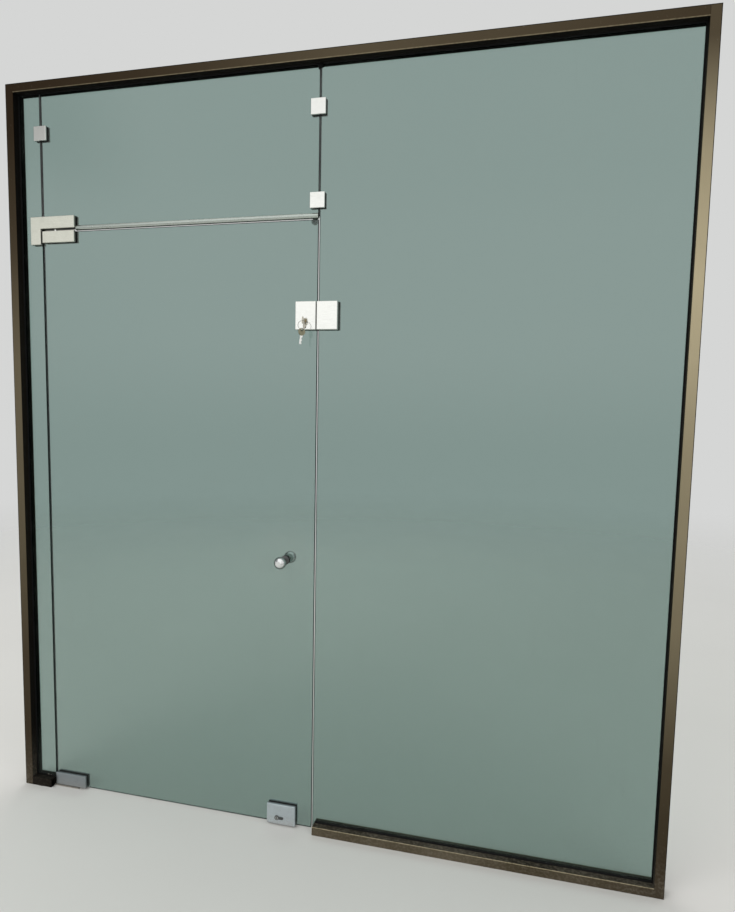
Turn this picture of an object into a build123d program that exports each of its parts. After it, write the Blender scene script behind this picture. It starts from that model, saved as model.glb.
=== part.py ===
from build123d import *
import os
from math import pi

# Glass entrance facade: a bronze aluminium frame, three fixed panes and a pivoting glass door.
# It stands in the XZ plane with its outside towards -Y. The origin is the middle of the frame's
# foot, on the middle of the glass. All sizes are in millimetres.

# Frame
FRAME_WIDTH = 2325.0
FRAME_HEIGHT = 2610.0
FRAME_FACE = 30.0
FRAME_FRONT = 35.0
FRAME_REAR = 25.0
FRAME_BASE = 12.0
FRAME_WALL = 2.0
POCKET_WALL = 5.0
FRAME_ARRIS = 1.5
SILL_SETBACK = 8.0
PORT_BITE = 0.4
PORT_BORE = 3.8
PORT_INSETS = (20.8, 7.9)
ANCHOR_BORE = 8.5
ANCHOR_MARGIN = 0.25
ANCHOR_PITCH = 700.0

# Glazing
GLASS = 10.0
GLASS_ARRIS = 0.8
GLASS_BLOCK = 3.0
GASKET = 4.0
GASKET_BITE = 13.0
GASKET_LIP = 3.0
GASKET_ROOT_DEPTH = 2.4
GASKET_ROOT_WIDTH = 2.2
GASKET_ROOT_PLACE = 21.0
BEAD_WALL = 1.6
BEAD_FOOT_INSET = 14.0
BEAD_FOOT_WIDTH = 2.2
BEAD_FOOT_LENGTH = 2.8
BEAD_SLOT_PLAY = 0.3
SETTING_BLOCK_LENGTH = 60.0
JOINT_GAP = 5.0
SEAL_RECESS = 1.0

# Where the panes meet, from the frame's left outer edge, and how far the transom comes down
SIDE_JOINT = 117.0
MIDDLE_JOINT = 1168.0
DOOR_BOTTOM = 7.0
TRANSOM_DROP = 500.0
TRANSOM_GAP = 10.5
PIVOT_INSET = 48.5

# Glass clamps
CLAMP_SIZE = 50.0
CLAMP_PROUD = 10.0
CLAMP_SHIFT = 4.0
CLAMP_TOP_DROP = 162.0
SIDE_CLAMP_DROP = 168.0
CLAMP_LOW_RISE = 48.5
CLAMP_BOLT_OFFSET = 13.0
PAD = 1.0
PAD_INSET = 1.0
PLATE_ROUND = 1.5
BOSS_DIAMETER = 10.0
GLASS_HOLE = 13.0
SCREW_DIAMETER = 6.0
SCREW_HEAD = 11.0
SCREW_PLAY = 0.2

# Patch fittings at the pivots
PATCH_PROUD = 12.0
PATCH_EDGE_INSET = 4.0
PATCH_LENGTH = 131.0
TOP_PATCH_HEIGHT = 41.0
TOP_PATCH_RISE = 2.5
BOTTOM_PATCH_HEIGHT = 46.5
BOTTOM_PATCH_RISE = 1.0
OVERPANEL_LEG = 41.0
OVERPANEL_LEG_GAP = 1.0
OVERPANEL_LEG_DROP = 6.0
OVERPANEL_RISE = 43.0
OVERPANEL_ARM = 42.5
NOTCH_LENGTH = 86.0
NOTCH_HEIGHT = 30.0
NOTCH_ROUND = 8.0
CORE_PLAY = 1.5
CORE_SCREW_INSET = 21.0
PIN_DIAMETER = 12.0
PIN_TOP_BITE = 26.0
PIN_TOP_REACH = 22.0
BUSH_WALL = 2.7
PIVOT_PLAY = 0.3
BUSH_LENGTH = 26.0
SPINDLE_DIAMETER = 16.0
SOCKET_WALL = 2.7
SOCKET_ROOF = 3.0
SOCKET_LENGTH = 26.0
BASE_THICKNESS = 5.0
BASE_DEPTH = 30.0
BASE_REACH = 55.0
BASE_HOLE = 6.5
BASE_HOLE_OFFSET = 38.0

# Transom rail and door stop
RAIL_DIAMETER = 18.5
RAIL_WALL = 1.6
RAIL_RISE = 2.0
RAIL_SLOT_PLAY = 0.2
RAIL_END_GAP = 1.0
STOP_INSET = 17.0
STOP_DIAMETER = 18.0
STOP_BITE = 9.0
STOP_LENGTH = 12.0
STOP_PLATE = 3.0
STOP_SCREW = 5.0

# Centre lock and its strike
LOCK_WIDTH = 70.5
LOCK_GAP = 3.0
LOCK_DROP = 355.0
LOCK_HEIGHT = 92.0
LOCK_PROUD = 18.5
LOCK_ROUND = 2.0
LOCK_WALL = 3.5
LOCK_RELIEF = 12.0
LOCK_NOTCH_MARGIN = 4.0
LOCK_NOTCH_DEPTH = 61.0
LOCK_CORE_PLAY = 0.8
LOCK_SCREW_INSET = 12.0
LOCK_SCREW = 4.0
LOCK_SCREW_HEAD = 8.0
CYLINDER_INSET = 33.0
CYLINDER_HEIGHT = 28.5
CYLINDER_ROUND = 17.0
CYLINDER_TAIL = 10.0
CYLINDER_TOTAL = 33.0
CYLINDER_PROUD = 2.0
CYLINDER_DEPTH = 8.0
CYLINDER_FIT = 0.2
PLUG_DIAMETER = 12.4
PLUG_PLAY = 0.3
CAM_LENGTH = 8.0
CAM_REACH = 15.0
CAM_WIDTH = 8.0
CAM_RECESS = 16.0
KEYWAY_WIDTH = 2.4
KEYWAY_HEIGHT = 8.4
KEYWAY_DEPTH = 25.0
BOLT_THICKNESS = 10.0
BOLT_HEIGHT = 28.0
BOLT_LENGTH = 52.0
BOLT_RISE = 64.5
BOLT_SETBACK = 0.3
BOLT_PLAY = 0.3
BOLT_CHAMFER = 1.0
BOLT_THROW = 20.0
STRIKE_PLAY = 1.5
STRIKE_POCKET_SPARE = 4.0

# Keys
KEY_THICKNESS = 2.0
KEY_BLADE_HEIGHT = 7.6
KEY_BLADE_LENGTH = 26.0
KEY_NECK = 3.0
KEY_BOW = 24.0
KEY_HOLE = 7.0
KEY_HOLE_INSET = 5.5
RING_DIAMETER = 28.0
RING_WIRE = 2.2
RING_PLAY = 0.15
SPARE_PLAY = 0.9
SPARE_TURN = 50.0
SPARE_LEAN = 7.0

# Floor lock patch
FLOOR_LOCK_INSET = 56.0
FLOOR_LOCK_WIDTH = 106.0
FLOOR_LOCK_HEIGHT = 72.0
FLOOR_LOCK_PROUD = 13.0
FLOOR_NOTCH_MARGIN = 9.0
FLOOR_CYLINDER_INSET = 38.0
FLOOR_CYLINDER_HEIGHT = 30.0
FLOOR_BOLT_INSET = 24.0
FLOOR_BOLT_WIDTH = 16.0
FLOOR_BOLT_LENGTH = 44.0
FLOOR_PLUG_PROUD = 1.5
FLOOR_BOLT_LIFT = 1.0

# Knobs
KNOB_INSET = 105.5
KNOB_HEIGHT = 964.0
KNOB_DIAMETER = 42.0
KNOB_REACH = 50.0
KNOB_FLAT = 9.0
KNOB_ROSE = 32.0
KNOB_ROSE_THICKNESS = 4.0
KNOB_NECK = 18.0
KNOB_STUD = 12.0
KNOB_STUD_PLAY = 0.1
KNOB_WASHER = 1.0

# Planes and edges that follow from the driving sizes
LEFT = -FRAME_WIDTH / 2
RIGHT = FRAME_WIDTH / 2
FRONT = -FRAME_FRONT
BACK = FRAME_REAR
FACE = GLASS / 2
POCKET = FACE + GASKET
PAD_FACE = FACE + PAD
GLASS_INSET = FRAME_BASE + GLASS_BLOCK
PORT_OUTER = FRAME_BASE - 2 * FRAME_WALL + PORT_BITE
PORT_DEPTHS = [BACK - inset for inset in PORT_INSETS]
ANCHOR_DEPTH = ANCHOR_MARGIN + ANCHOR_BORE / 2 - POCKET
BEAD_FOOT_PLACE = BACK - BEAD_FOOT_INSET
SIDE_EDGE = LEFT + SIDE_JOINT - JOINT_GAP / 2
DOOR_LEFT = LEFT + SIDE_JOINT + JOINT_GAP / 2
DOOR_RIGHT = LEFT + MIDDLE_JOINT - JOINT_GAP / 2
FIXED_LEFT = LEFT + MIDDLE_JOINT + JOINT_GAP / 2
SILL_START = FIXED_LEFT + SILL_SETBACK
TRANSOM_BOTTOM = FRAME_HEIGHT - TRANSOM_DROP
DOOR_TOP = TRANSOM_BOTTOM - TRANSOM_GAP
CLAMP_TOP_HEIGHT = FRAME_HEIGHT - CLAMP_TOP_DROP
SIDE_CLAMP_HEIGHT = FRAME_HEIGHT - SIDE_CLAMP_DROP
CLAMP_LOW_HEIGHT = TRANSOM_BOTTOM + CLAMP_LOW_RISE
RAIL_HEIGHT = TRANSOM_BOTTOM + RAIL_RISE
PIVOT_X = DOOR_LEFT + PIVOT_INSET
PATCH_LEFT = DOOR_LEFT + PATCH_EDGE_INSET
PATCH_RIGHT = PATCH_LEFT + PATCH_LENGTH
TOP_PATCH_TOP = DOOR_TOP + TOP_PATCH_RISE
BOTTOM_PATCH_BOTTOM = DOOR_BOTTOM + BOTTOM_PATCH_RISE
OVERPANEL_TOP = TRANSOM_BOTTOM + OVERPANEL_RISE
OVERPANEL_ARM_BOTTOM = OVERPANEL_TOP - OVERPANEL_ARM
LEG_RIGHT = LEFT + SIDE_JOINT - OVERPANEL_LEG_GAP
LEG_LEFT = LEG_RIGHT - OVERPANEL_LEG
LEG_BOTTOM = TOP_PATCH_TOP - TOP_PATCH_HEIGHT - OVERPANEL_LEG_DROP
ARM_RIGHT = PATCH_RIGHT + RAIL_END_GAP
LOCK_RIGHT = LEFT + MIDDLE_JOINT - LOCK_GAP / 2
LOCK_LEFT = LOCK_RIGHT - LOCK_WIDTH
STRIKE_LEFT = LEFT + MIDDLE_JOINT + LOCK_GAP / 2
STRIKE_RIGHT = STRIKE_LEFT + LOCK_WIDTH
LOCK_BOTTOM = DOOR_TOP - LOCK_DROP
LOCK_TOP = LOCK_BOTTOM + LOCK_HEIGHT
LOCK_FACE = FACE + LOCK_PROUD
LOCK_NOTCH_LOW = LOCK_BOTTOM + LOCK_NOTCH_MARGIN
LOCK_NOTCH_HIGH = LOCK_TOP - LOCK_NOTCH_MARGIN
PLUG_X = LOCK_LEFT + CYLINDER_INSET
PLUG_Z = LOCK_BOTTOM + CYLINDER_HEIGHT
BOLT_Z = LOCK_BOTTOM + BOLT_RISE
FLOOR_RIGHT = DOOR_RIGHT - FLOOR_LOCK_INSET
FLOOR_LEFT = FLOOR_RIGHT - FLOOR_LOCK_WIDTH
FLOOR_LOW = DOOR_BOTTOM
FLOOR_HIGH = FLOOR_LOW + FLOOR_LOCK_HEIGHT
FLOOR_FACE = FACE + FLOOR_LOCK_PROUD
FLOOR_PLUG_X = FLOOR_LEFT + FLOOR_CYLINDER_INSET
FLOOR_PLUG_Z = FLOOR_CYLINDER_HEIGHT
FLOOR_BOLT_X = FLOOR_RIGHT - FLOOR_BOLT_INSET
KNOB_X = DOOR_RIGHT - KNOB_INSET


def block(x, y, z):
    """A box between the two ends given for each axis."""
    size = [abs(end - start) for start, end in (x, y, z)]
    centre = [(start + end) / 2 for start, end in (x, y, z)]
    return Pos(*centre) * Box(*size)


def rod_y(x, z, start, end, diameter):
    """A round bar along Y between two depths."""
    turn = Rot(90, 0, 0)
    return Pos(x, (start + end) / 2, z) * turn * Cylinder(diameter / 2, abs(end - start))


def rod_x(y, z, start, end, diameter):
    """A round bar along X between two ends."""
    turn = Rot(0, 90, 0)
    return Pos((start + end) / 2, y, z) * turn * Cylinder(diameter / 2, abs(end - start))


def rod_z(x, y, start, end, diameter):
    """A round bar along Z between two heights."""
    return Pos(x, y, (start + end) / 2) * Cylinder(diameter / 2, abs(end - start))


def rectangle(u, v):
    """A flat rectangle between two ends of u and two ends of v."""
    place = Pos((u[0] + u[1]) / 2, (v[0] + v[1]) / 2)
    return place * Rectangle(abs(u[1] - u[0]), abs(v[1] - v[0]))


def upright(face, front, back):
    """Extrude a face drawn in X and Z from one depth to another."""
    plane = Plane(origin=(0, back, 0), x_dir=(1, 0, 0), z_dir=(0, -1, 0))
    return extrude(plane * face, back - front)


def bar(section, corner, inwards, length):
    """Run a frame section along an outer corner line; u of the section points inwards."""
    along = Vector(*inwards).cross(Vector(0, 1, 0))
    plane = Plane(origin=corner, x_dir=inwards, z_dir=along)
    return extrude(plane * section, length)


def frame_section():
    """Aluminium section: u from the outer edge inwards, v from outside to inside."""
    face = rectangle((0, FRAME_BASE), (FRONT, BACK)) + rectangle((0, FRAME_FACE), (FRONT, -POCKET))
    arris = face.vertices().filter_by(lambda v: abs(v.X - FRAME_FACE) < 0.01)
    face = fillet(arris, FRAME_ARRIS)
    far = FRAME_FACE - FRAME_WALL
    face -= rectangle((FRAME_WALL, far), (FRONT + FRAME_WALL, -POCKET - POCKET_WALL))
    chamber = rectangle((FRAME_WALL, FRAME_BASE - FRAME_WALL), (-POCKET, BACK - FRAME_WALL))
    for depth in PORT_DEPTHS:
        chamber -= Pos(FRAME_BASE / 2, depth) * Circle(PORT_OUTER / 2)
        face -= Pos(FRAME_BASE / 2, depth) * Circle(PORT_BORE / 2)
    face -= chamber
    root = GASKET_ROOT_WIDTH / 2
    groove = (-POCKET - GASKET_ROOT_DEPTH, -POCKET)
    face -= rectangle((GASKET_ROOT_PLACE - root, GASKET_ROOT_PLACE + root), groove)
    foot = BEAD_FOOT_WIDTH / 2 + BEAD_SLOT_PLAY
    slot = (FRAME_BASE - FRAME_WALL, FRAME_BASE)
    face -= rectangle(slot, (BEAD_FOOT_PLACE - foot, BEAD_FOOT_PLACE + foot))
    return face


def bead_section():
    """Inner glazing bead, a hollow bar with a foot that clips into the frame."""
    face = rectangle((FRAME_BASE, FRAME_FACE), (POCKET, BACK))
    corner = face.vertices().filter_by(lambda v: v.X > FRAME_BASE + 1)
    face = fillet(corner, FRAME_ARRIS)
    hollow = (FRAME_BASE + BEAD_WALL, FRAME_FACE - BEAD_WALL)
    face -= rectangle(hollow, (POCKET + BEAD_WALL, BACK - BEAD_WALL))
    half = BEAD_FOOT_WIDTH / 2
    foot = (FRAME_BASE - BEAD_FOOT_LENGTH, FRAME_BASE)
    return face + rectangle(foot, (BEAD_FOOT_PLACE - half, BEAD_FOOT_PLACE + half))


def anchor_row(middle, length):
    """Places of a bar's wall fixings: an even number of them at one pitch about its middle."""
    count = 2 * max(1, int(length / ANCHOR_PITCH / 2 + 0.5))
    first = middle - (count - 1) * ANCHOR_PITCH / 2
    return [first + step * ANCHOR_PITCH for step in range(count)]


def corner_bores(x_outer, side, height, inwards):
    """Access and clearance bores for the two screws of one frame corner."""
    bores = None
    z = height + inwards * FRAME_BASE / 2
    for depth in PORT_DEPTHS:
        access = rod_x(depth, z, x_outer, x_outer + side * (FRAME_BASE - FRAME_WALL), 8.6)
        clear = rod_x(depth, z, x_outer, x_outer + side * FRAME_BASE, 4.4)
        bores = access + clear if bores is None else bores + access + clear
    return bores


def jamb(x_outer, side):
    """Full-height jamb; side is +1 for the left one, whose inside is towards +X."""
    start = 0 if side > 0 else FRAME_HEIGHT
    body = bar(frame_section(), (x_outer, 0, start), (side, 0, 0), FRAME_HEIGHT)
    body -= corner_bores(x_outer, side, FRAME_HEIGHT, -1)
    body -= corner_bores(x_outer, side, 0, 1)
    for height in anchor_row(FRAME_HEIGHT / 2, FRAME_HEIGHT):
        body -= rod_x(ANCHOR_DEPTH, height, x_outer, x_outer + side * FRAME_BASE, ANCHOR_BORE)
    return body


def cope(edge, side, height, inwards):
    """The front leg cut away where a horizontal bar meets a jamb's front leg."""
    z = (height - inwards, height + inwards * (FRAME_FACE + 1))
    return block((edge, edge + side * FRAME_FACE), (FRONT - 1, -POCKET), z)


def head():
    """Head between the jambs, coped round their front legs."""
    length = FRAME_WIDTH - 2 * FRAME_BASE
    body = bar(frame_section(), (LEFT + FRAME_BASE, 0, FRAME_HEIGHT), (0, 0, -1), length)
    body -= cope(LEFT, 1, FRAME_HEIGHT, -1)
    body -= cope(RIGHT, -1, FRAME_HEIGHT, -1)
    for x in anchor_row(0, FRAME_WIDTH):
        body -= rod_z(x, ANCHOR_DEPTH, FRAME_HEIGHT - FRAME_BASE, FRAME_HEIGHT, ANCHOR_BORE)
    return body


def sill_right():
    """Sill under the large fixed pane."""
    length = RIGHT - FRAME_BASE - SILL_START
    body = bar(frame_section(), (RIGHT - FRAME_BASE, 0, 0), (0, 0, 1), length)
    body -= cope(RIGHT, -1, 0, 1)
    for x in anchor_row((SILL_START + RIGHT) / 2, length):
        body -= rod_z(x, ANCHOR_DEPTH, 0, FRAME_BASE, ANCHOR_BORE)
    return body


def sill_left():
    """Short sill stub under the side glass, open at its cut end."""
    length = SIDE_EDGE - LEFT - FRAME_BASE
    body = bar(frame_section(), (SIDE_EDGE, 0, 0), (0, 0, 1), length)
    body -= cope(LEFT, 1, 0, 1)
    middle = (SIDE_EDGE + LEFT + FRAME_FACE) / 2
    return body - rod_z(middle, ANCHOR_DEPTH, 0, FRAME_BASE, ANCHOR_BORE)


def corner_screws():
    """Self-tapping screws that hold the head and the sills to the jambs."""
    screws = []
    for x_outer, side in ((LEFT, 1), (RIGHT, -1)):
        for height, inwards in ((FRAME_HEIGHT, -1), (0, 1)):
            z = height + inwards * FRAME_BASE / 2
            seat = x_outer + side * (FRAME_BASE - FRAME_WALL)
            for depth in PORT_DEPTHS:
                cap = rod_x(depth, z, seat - side * 2.5, seat, 8)
                shank = rod_x(depth, z, seat, seat + side * 35, PORT_BORE)
                screws.append(cap + shank)
    return screws


def beads():
    """Inner glazing beads: head and sill beads run through, jamb beads fit between them."""
    section = bead_section()
    span = FRAME_WIDTH - 2 * FRAME_BASE
    upper = bar(section, (LEFT + FRAME_BASE, 0, FRAME_HEIGHT), (0, 0, -1), span)
    length = FRAME_HEIGHT - 2 * FRAME_FACE
    left = bar(section, (LEFT, 0, FRAME_FACE), (1, 0, 0), length)
    right = bar(section, (RIGHT, 0, FRAME_HEIGHT - FRAME_FACE), (-1, 0, 0), length)
    lower = bar(section, (RIGHT - FRAME_BASE, 0, 0), (0, 0, 1), RIGHT - FRAME_BASE - SILL_START)
    stub = bar(section, (SIDE_EDGE, 0, 0), (0, 0, 1), SIDE_EDGE - LEFT - FRAME_BASE)
    nodes = {"bead_head": upper, "bead_left": left, "bead_right": right}
    nodes.update({"bead_sill_right": lower, "bead_sill_left": stub})
    return nodes


def frame_ring(outer, inner):
    """A flat strip that follows the frame round both panes and stops at the doorway."""
    wide = rectangle((LEFT + outer, RIGHT - outer), (outer, FRAME_HEIGHT - outer))
    narrow = rectangle((LEFT + inner, RIGHT - inner), (inner, FRAME_HEIGHT - inner))
    doorway = rectangle((SIDE_EDGE, SILL_START), (-1, FRAME_FACE * 2))
    return wide - narrow - doorway


def outer_gasket():
    """Black glazing gasket between the frame's front leg and the glass."""
    lip = FRAME_FACE + GASKET_LIP
    strip = upright(frame_ring(lip - GASKET_BITE - GASKET_LIP, lip), -POCKET, -FACE)
    half = GASKET_ROOT_WIDTH / 2
    root = frame_ring(GASKET_ROOT_PLACE - half, GASKET_ROOT_PLACE + half)
    for edge, side in ((LEFT, 1), (RIGHT, -1)):
        leg = (edge + side * (GASKET_ROOT_PLACE + half), edge + side * FRAME_FACE)
        root -= rectangle(leg, (-1, FRAME_HEIGHT + 1))
    return strip + upright(root, -POCKET - GASKET_ROOT_DEPTH, -POCKET)


def inner_gasket():
    """Black gasket between the glass and the inner beads."""
    lip = FRAME_FACE + GASKET_LIP
    return upright(frame_ring(lip - GASKET_BITE - GASKET_LIP, lip), FACE, POCKET)


def setting_blocks():
    """Hard blocks that carry the fixed panes on the sills."""
    middle = (FIXED_LEFT + RIGHT) / 2
    quarter = (RIGHT - FIXED_LEFT) / 4
    side = (LEFT + FRAME_FACE + SIDE_EDGE) / 2
    blocks = []
    for x in (side, middle - quarter, middle + quarter):
        half = SETTING_BLOCK_LENGTH / 2
        blocks.append(block((x - half, x + half), (-FACE, FACE), (FRAME_BASE, GLASS_INSET)))
    return blocks


def pane(x, z):
    """A glass pane with ground arrises on both faces."""
    sheet = block(x, (-FACE, FACE), z)
    rim = sheet.faces().filter_by(Axis.Y).edges()
    return chamfer(rim, GLASS_ARRIS)


def notch(x, z, open_sides):
    """A cut-out through the glass; its corners are round except on the open sides."""
    cut = block(x, (-FACE - 1, FACE + 1), z)
    edges = cut.edges().filter_by(Axis.Y)
    inner = [edge for edge in edges if not any(test(edge.center()) for test in open_sides)]
    return fillet(inner, NOTCH_ROUND)


def clamp_places():
    """Joint and height of each glass clamp, and the side of the joint where the transom is."""
    side = (LEFT + SIDE_JOINT, SIDE_CLAMP_HEIGHT, 1)
    middle = LEFT + MIDDLE_JOINT
    return side, (middle, CLAMP_TOP_HEIGHT, -1), (middle, CLAMP_LOW_HEIGHT, -1)


def clamp_holes():
    """Bores through the panes for the bosses of the clamps."""
    bores = None
    for x, z, _ in clamp_places():
        for side in (-1, 1):
            bore = rod_y(x + side * CLAMP_BOLT_OFFSET, z, -FACE - 1, FACE + 1, GLASS_HOLE)
            bores = bore if bores is None else bores + bore
    return bores


def overpanel_screw_places():
    """Screws of the overpanel patch: two in the leg, one at the arm's end, two in the core."""
    leg = (LEG_LEFT + SIDE_EDGE) / 2
    core_left = DOOR_LEFT + CORE_SCREW_INSET
    core_right = DOOR_LEFT + NOTCH_LENGTH - CORE_SCREW_INSET / 2
    arm = OVERPANEL_ARM_BOTTOM + OVERPANEL_ARM / 2
    end = (DOOR_LEFT + NOTCH_LENGTH + ARM_RIGHT) / 2
    low = LEG_BOTTOM + OVERPANEL_LEG / 2
    high = OVERPANEL_TOP - OVERPANEL_LEG / 2
    core = TRANSOM_BOTTOM + NOTCH_HEIGHT / 2
    return ((leg, low), (leg, high), (end, arm)), ((core_left, core), (core_right, core))


def side_glass():
    """Narrow fixed pane at the left, carried by the stub sill."""
    sheet = pane((LEFT + GLASS_INSET, SIDE_EDGE), (GLASS_INSET, FRAME_HEIGHT - GLASS_INSET))
    sheet -= clamp_holes()
    for x, z in overpanel_screw_places()[0][:2]:
        sheet -= rod_y(x, z, -FACE - 1, FACE + 1, GLASS_HOLE)
    return sheet


def transom_glass():
    """Fixed pane over the door, notched for the pivot's core block."""
    sheet = pane((DOOR_LEFT, DOOR_RIGHT), (TRANSOM_BOTTOM, FRAME_HEIGHT - GLASS_INSET))
    sheet -= clamp_holes()
    end = overpanel_screw_places()[0][2]
    sheet -= rod_y(*end, -FACE - 1, FACE + 1, GLASS_HOLE)
    x = (DOOR_LEFT - 1, DOOR_LEFT + NOTCH_LENGTH)
    z = (TRANSOM_BOTTOM - 1, TRANSOM_BOTTOM + NOTCH_HEIGHT)
    inner = [lambda c: c.X < DOOR_LEFT, lambda c: c.Z < TRANSOM_BOTTOM]
    return sheet - notch(x, z, inner)


def fixed_glass():
    """Large fixed pane at the right, notched for the strike."""
    sheet = pane((FIXED_LEFT, RIGHT - GLASS_INSET), (GLASS_INSET, FRAME_HEIGHT - GLASS_INSET))
    sheet -= clamp_holes()
    x = (FIXED_LEFT - 1, FIXED_LEFT + LOCK_NOTCH_DEPTH)
    return sheet - notch(x, (LOCK_NOTCH_LOW, LOCK_NOTCH_HIGH), [lambda c: c.X < FIXED_LEFT])


def door_glass():
    """Door leaf: notched for both pivots, the lock and the floor lock, bored for the knobs."""
    sheet = pane((DOOR_LEFT, DOOR_RIGHT), (DOOR_BOTTOM, DOOR_TOP))
    x = (DOOR_LEFT - 1, DOOR_LEFT + NOTCH_LENGTH)
    at_left = lambda c: c.X < DOOR_LEFT
    at_top = lambda c: c.Z > DOOR_TOP
    at_foot = lambda c: c.Z < DOOR_BOTTOM
    sheet -= notch(x, (DOOR_TOP - NOTCH_HEIGHT, DOOR_TOP + 1), [at_left, at_top])
    sheet -= notch(x, (DOOR_BOTTOM - 1, DOOR_BOTTOM + NOTCH_HEIGHT), [at_left, at_foot])
    lock_x = (DOOR_RIGHT - LOCK_NOTCH_DEPTH, DOOR_RIGHT + 1)
    at_right = lambda c: c.X > DOOR_RIGHT
    sheet -= notch(lock_x, (LOCK_NOTCH_LOW, LOCK_NOTCH_HIGH), [at_right])
    floor_x = (FLOOR_LEFT + FLOOR_NOTCH_MARGIN, FLOOR_RIGHT - FLOOR_NOTCH_MARGIN)
    sheet -= notch(floor_x, (DOOR_BOTTOM - 1, FLOOR_HIGH - FLOOR_NOTCH_MARGIN), [at_foot])
    for x, z in patch_end_places():
        sheet -= rod_y(x, z, -FACE - 1, FACE + 1, GLASS_HOLE)
    return sheet - rod_y(KNOB_X, KNOB_HEIGHT, -FACE - 1, FACE + 1, KNOB_STUD + 2)


def joint_seal(joint, low):
    """Clear silicone in the gap between two fixed panes."""
    x = (LEFT + joint - JOINT_GAP / 2, LEFT + joint + JOINT_GAP / 2)
    y = (-FACE + SEAL_RECESS, FACE - SEAL_RECESS)
    return block(x, y, (low, FRAME_HEIGHT - GLASS_INSET))


def plate(x, z, inner, outer, rounding):
    """A cover plate with soft front edges; inner and outer are its two depths."""
    body = block(x, (inner, outer), z)
    body = fillet(body.edges().filter_by(Axis.Y), rounding)
    face = body.faces().sort_by(Axis.Y)[0 if outer < inner else -1]
    return fillet(face.edges(), rounding)


def screw(x, z, outer, tip, diameter, cap):
    """Countersunk machine screw driven from the inside face towards the outside."""
    sink = (cap - diameter) / 2
    cone = Pos(x, outer - sink / 2, z) * Rot(-90, 0, 0) * Cone(diameter / 2, cap / 2, sink)
    body = cone + rod_y(x, z, tip, outer - sink, diameter)
    flats = RegularPolygon(diameter * 0.3, 6)
    socket = extrude(Plane(origin=(x, outer, z), z_dir=(0, 1, 0)) * flats, -sink)
    return body - socket


def screw_bore(x, z, outer, tip, diameter, cap):
    """Space that a countersunk screw takes up in the pieces it holds."""
    sink = (cap - diameter) / 2
    play = SCREW_PLAY
    place = Pos(x, outer - sink / 2, z) * Rot(-90, 0, 0)
    cone = place * Cone(diameter / 2 + play, cap / 2 + play, sink)
    return cone + rod_y(x, z, tip - play, outer - sink, diameter + 2 * play)


def standard_screw(x, z, proud):
    """The M6 screw of a clamp or patch, from the inner plate into the outer plate."""
    return screw(x, z, FACE + proud, -PAD_FACE, SCREW_DIAMETER, SCREW_HEAD)


def standard_bore(x, z, proud):
    """Bore for the M6 screw of a clamp or patch."""
    return screw_bore(x, z, FACE + proud, -PAD_FACE, SCREW_DIAMETER, SCREW_HEAD)


def glass_boss(x, z):
    """Boss of an outer plate, through the glass to the inner plate."""
    return rod_y(x, z, -PAD_FACE, PAD_FACE, BOSS_DIAMETER)


def pad_hole(x, z):
    """Hole of a pad where a boss goes through."""
    return rod_y(x, z, -PAD_FACE - 1, PAD_FACE + 1, GLASS_HOLE)


def both_pads(x, z, clearances):
    """One pad on each face of the glass, cut out for bosses and cores."""
    pads = []
    for inner, outer in ((-PAD_FACE, -FACE), (FACE, PAD_FACE)):
        pad = block(x, (inner, outer), z)
        for clearance in clearances:
            pad -= clearance
        pads.append(pad)
    return pads


def clamps():
    """Square clamps, set a little towards the transom: plates with bosses, pads and screws."""
    half = CLAMP_SIZE / 2
    nodes = {"clamp_fronts": [], "clamp_backs": [], "clamp_pads": [], "clamp_screws": []}
    for x, z, transom_side in clamp_places():
        centre = x + transom_side * CLAMP_SHIFT
        wide = (centre - half, centre + half)
        high = (z - half, z + half)
        front = plate(wide, high, -PAD_FACE, -FACE - CLAMP_PROUD, PLATE_ROUND)
        back = plate(wide, high, PAD_FACE, FACE + CLAMP_PROUD, PLATE_ROUND)
        holes = []
        for side in (-1, 1):
            bolt = x + side * CLAMP_BOLT_OFFSET
            bore = standard_bore(bolt, z, CLAMP_PROUD)
            front = front + glass_boss(bolt, z) - bore
            back -= bore
            holes.append(pad_hole(bolt, z))
            nodes["clamp_screws"].append(standard_screw(bolt, z, CLAMP_PROUD))
        narrow = (centre - half + PAD_INSET, centre + half - PAD_INSET)
        short = (z - half + PAD_INSET, z + half - PAD_INSET)
        nodes["clamp_fronts"].append(front)
        nodes["clamp_backs"].append(back)
        nodes["clamp_pads"] += both_pads(narrow, short, holes)
    return nodes


def overpanel_outline(inset):
    """The L outline of the overpanel patch in X and Z."""
    low = LEG_BOTTOM + inset
    arm = OVERPANEL_ARM_BOTTOM + inset
    high = OVERPANEL_TOP - inset
    leg = rectangle((LEG_LEFT + inset, LEG_RIGHT - inset), (low, high))
    return leg + rectangle((LEG_LEFT + inset, ARM_RIGHT - inset), (arm, high))


def overpanel_plate(inner, outer):
    """One L plate of the overpanel patch with soft edges."""
    body = upright(overpanel_outline(0), min(inner, outer), max(inner, outer))
    body = fillet(body.edges().filter_by(Axis.Y), PLATE_ROUND)
    face = body.faces().sort_by(Axis.Y)[0 if outer < inner else -1]
    return fillet(face.edges(), PLATE_ROUND)


def overpanel_core():
    """Block of the inner plate that fills the transom's notch and holds the pivot pin."""
    x = (DOOR_LEFT + CORE_PLAY, DOOR_LEFT + NOTCH_LENGTH - CORE_PLAY)
    z = (OVERPANEL_ARM_BOTTOM, TRANSOM_BOTTOM + NOTCH_HEIGHT - CORE_PLAY)
    core = block(x, (-PAD_FACE, PAD_FACE), z)
    upper = core.edges().filter_by(Axis.Y).filter_by(lambda e: e.center().Z > z[1] - 1)
    right = [edge for edge in upper if edge.center().X > x[1] - 1]
    return fillet(right, NOTCH_ROUND)


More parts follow.
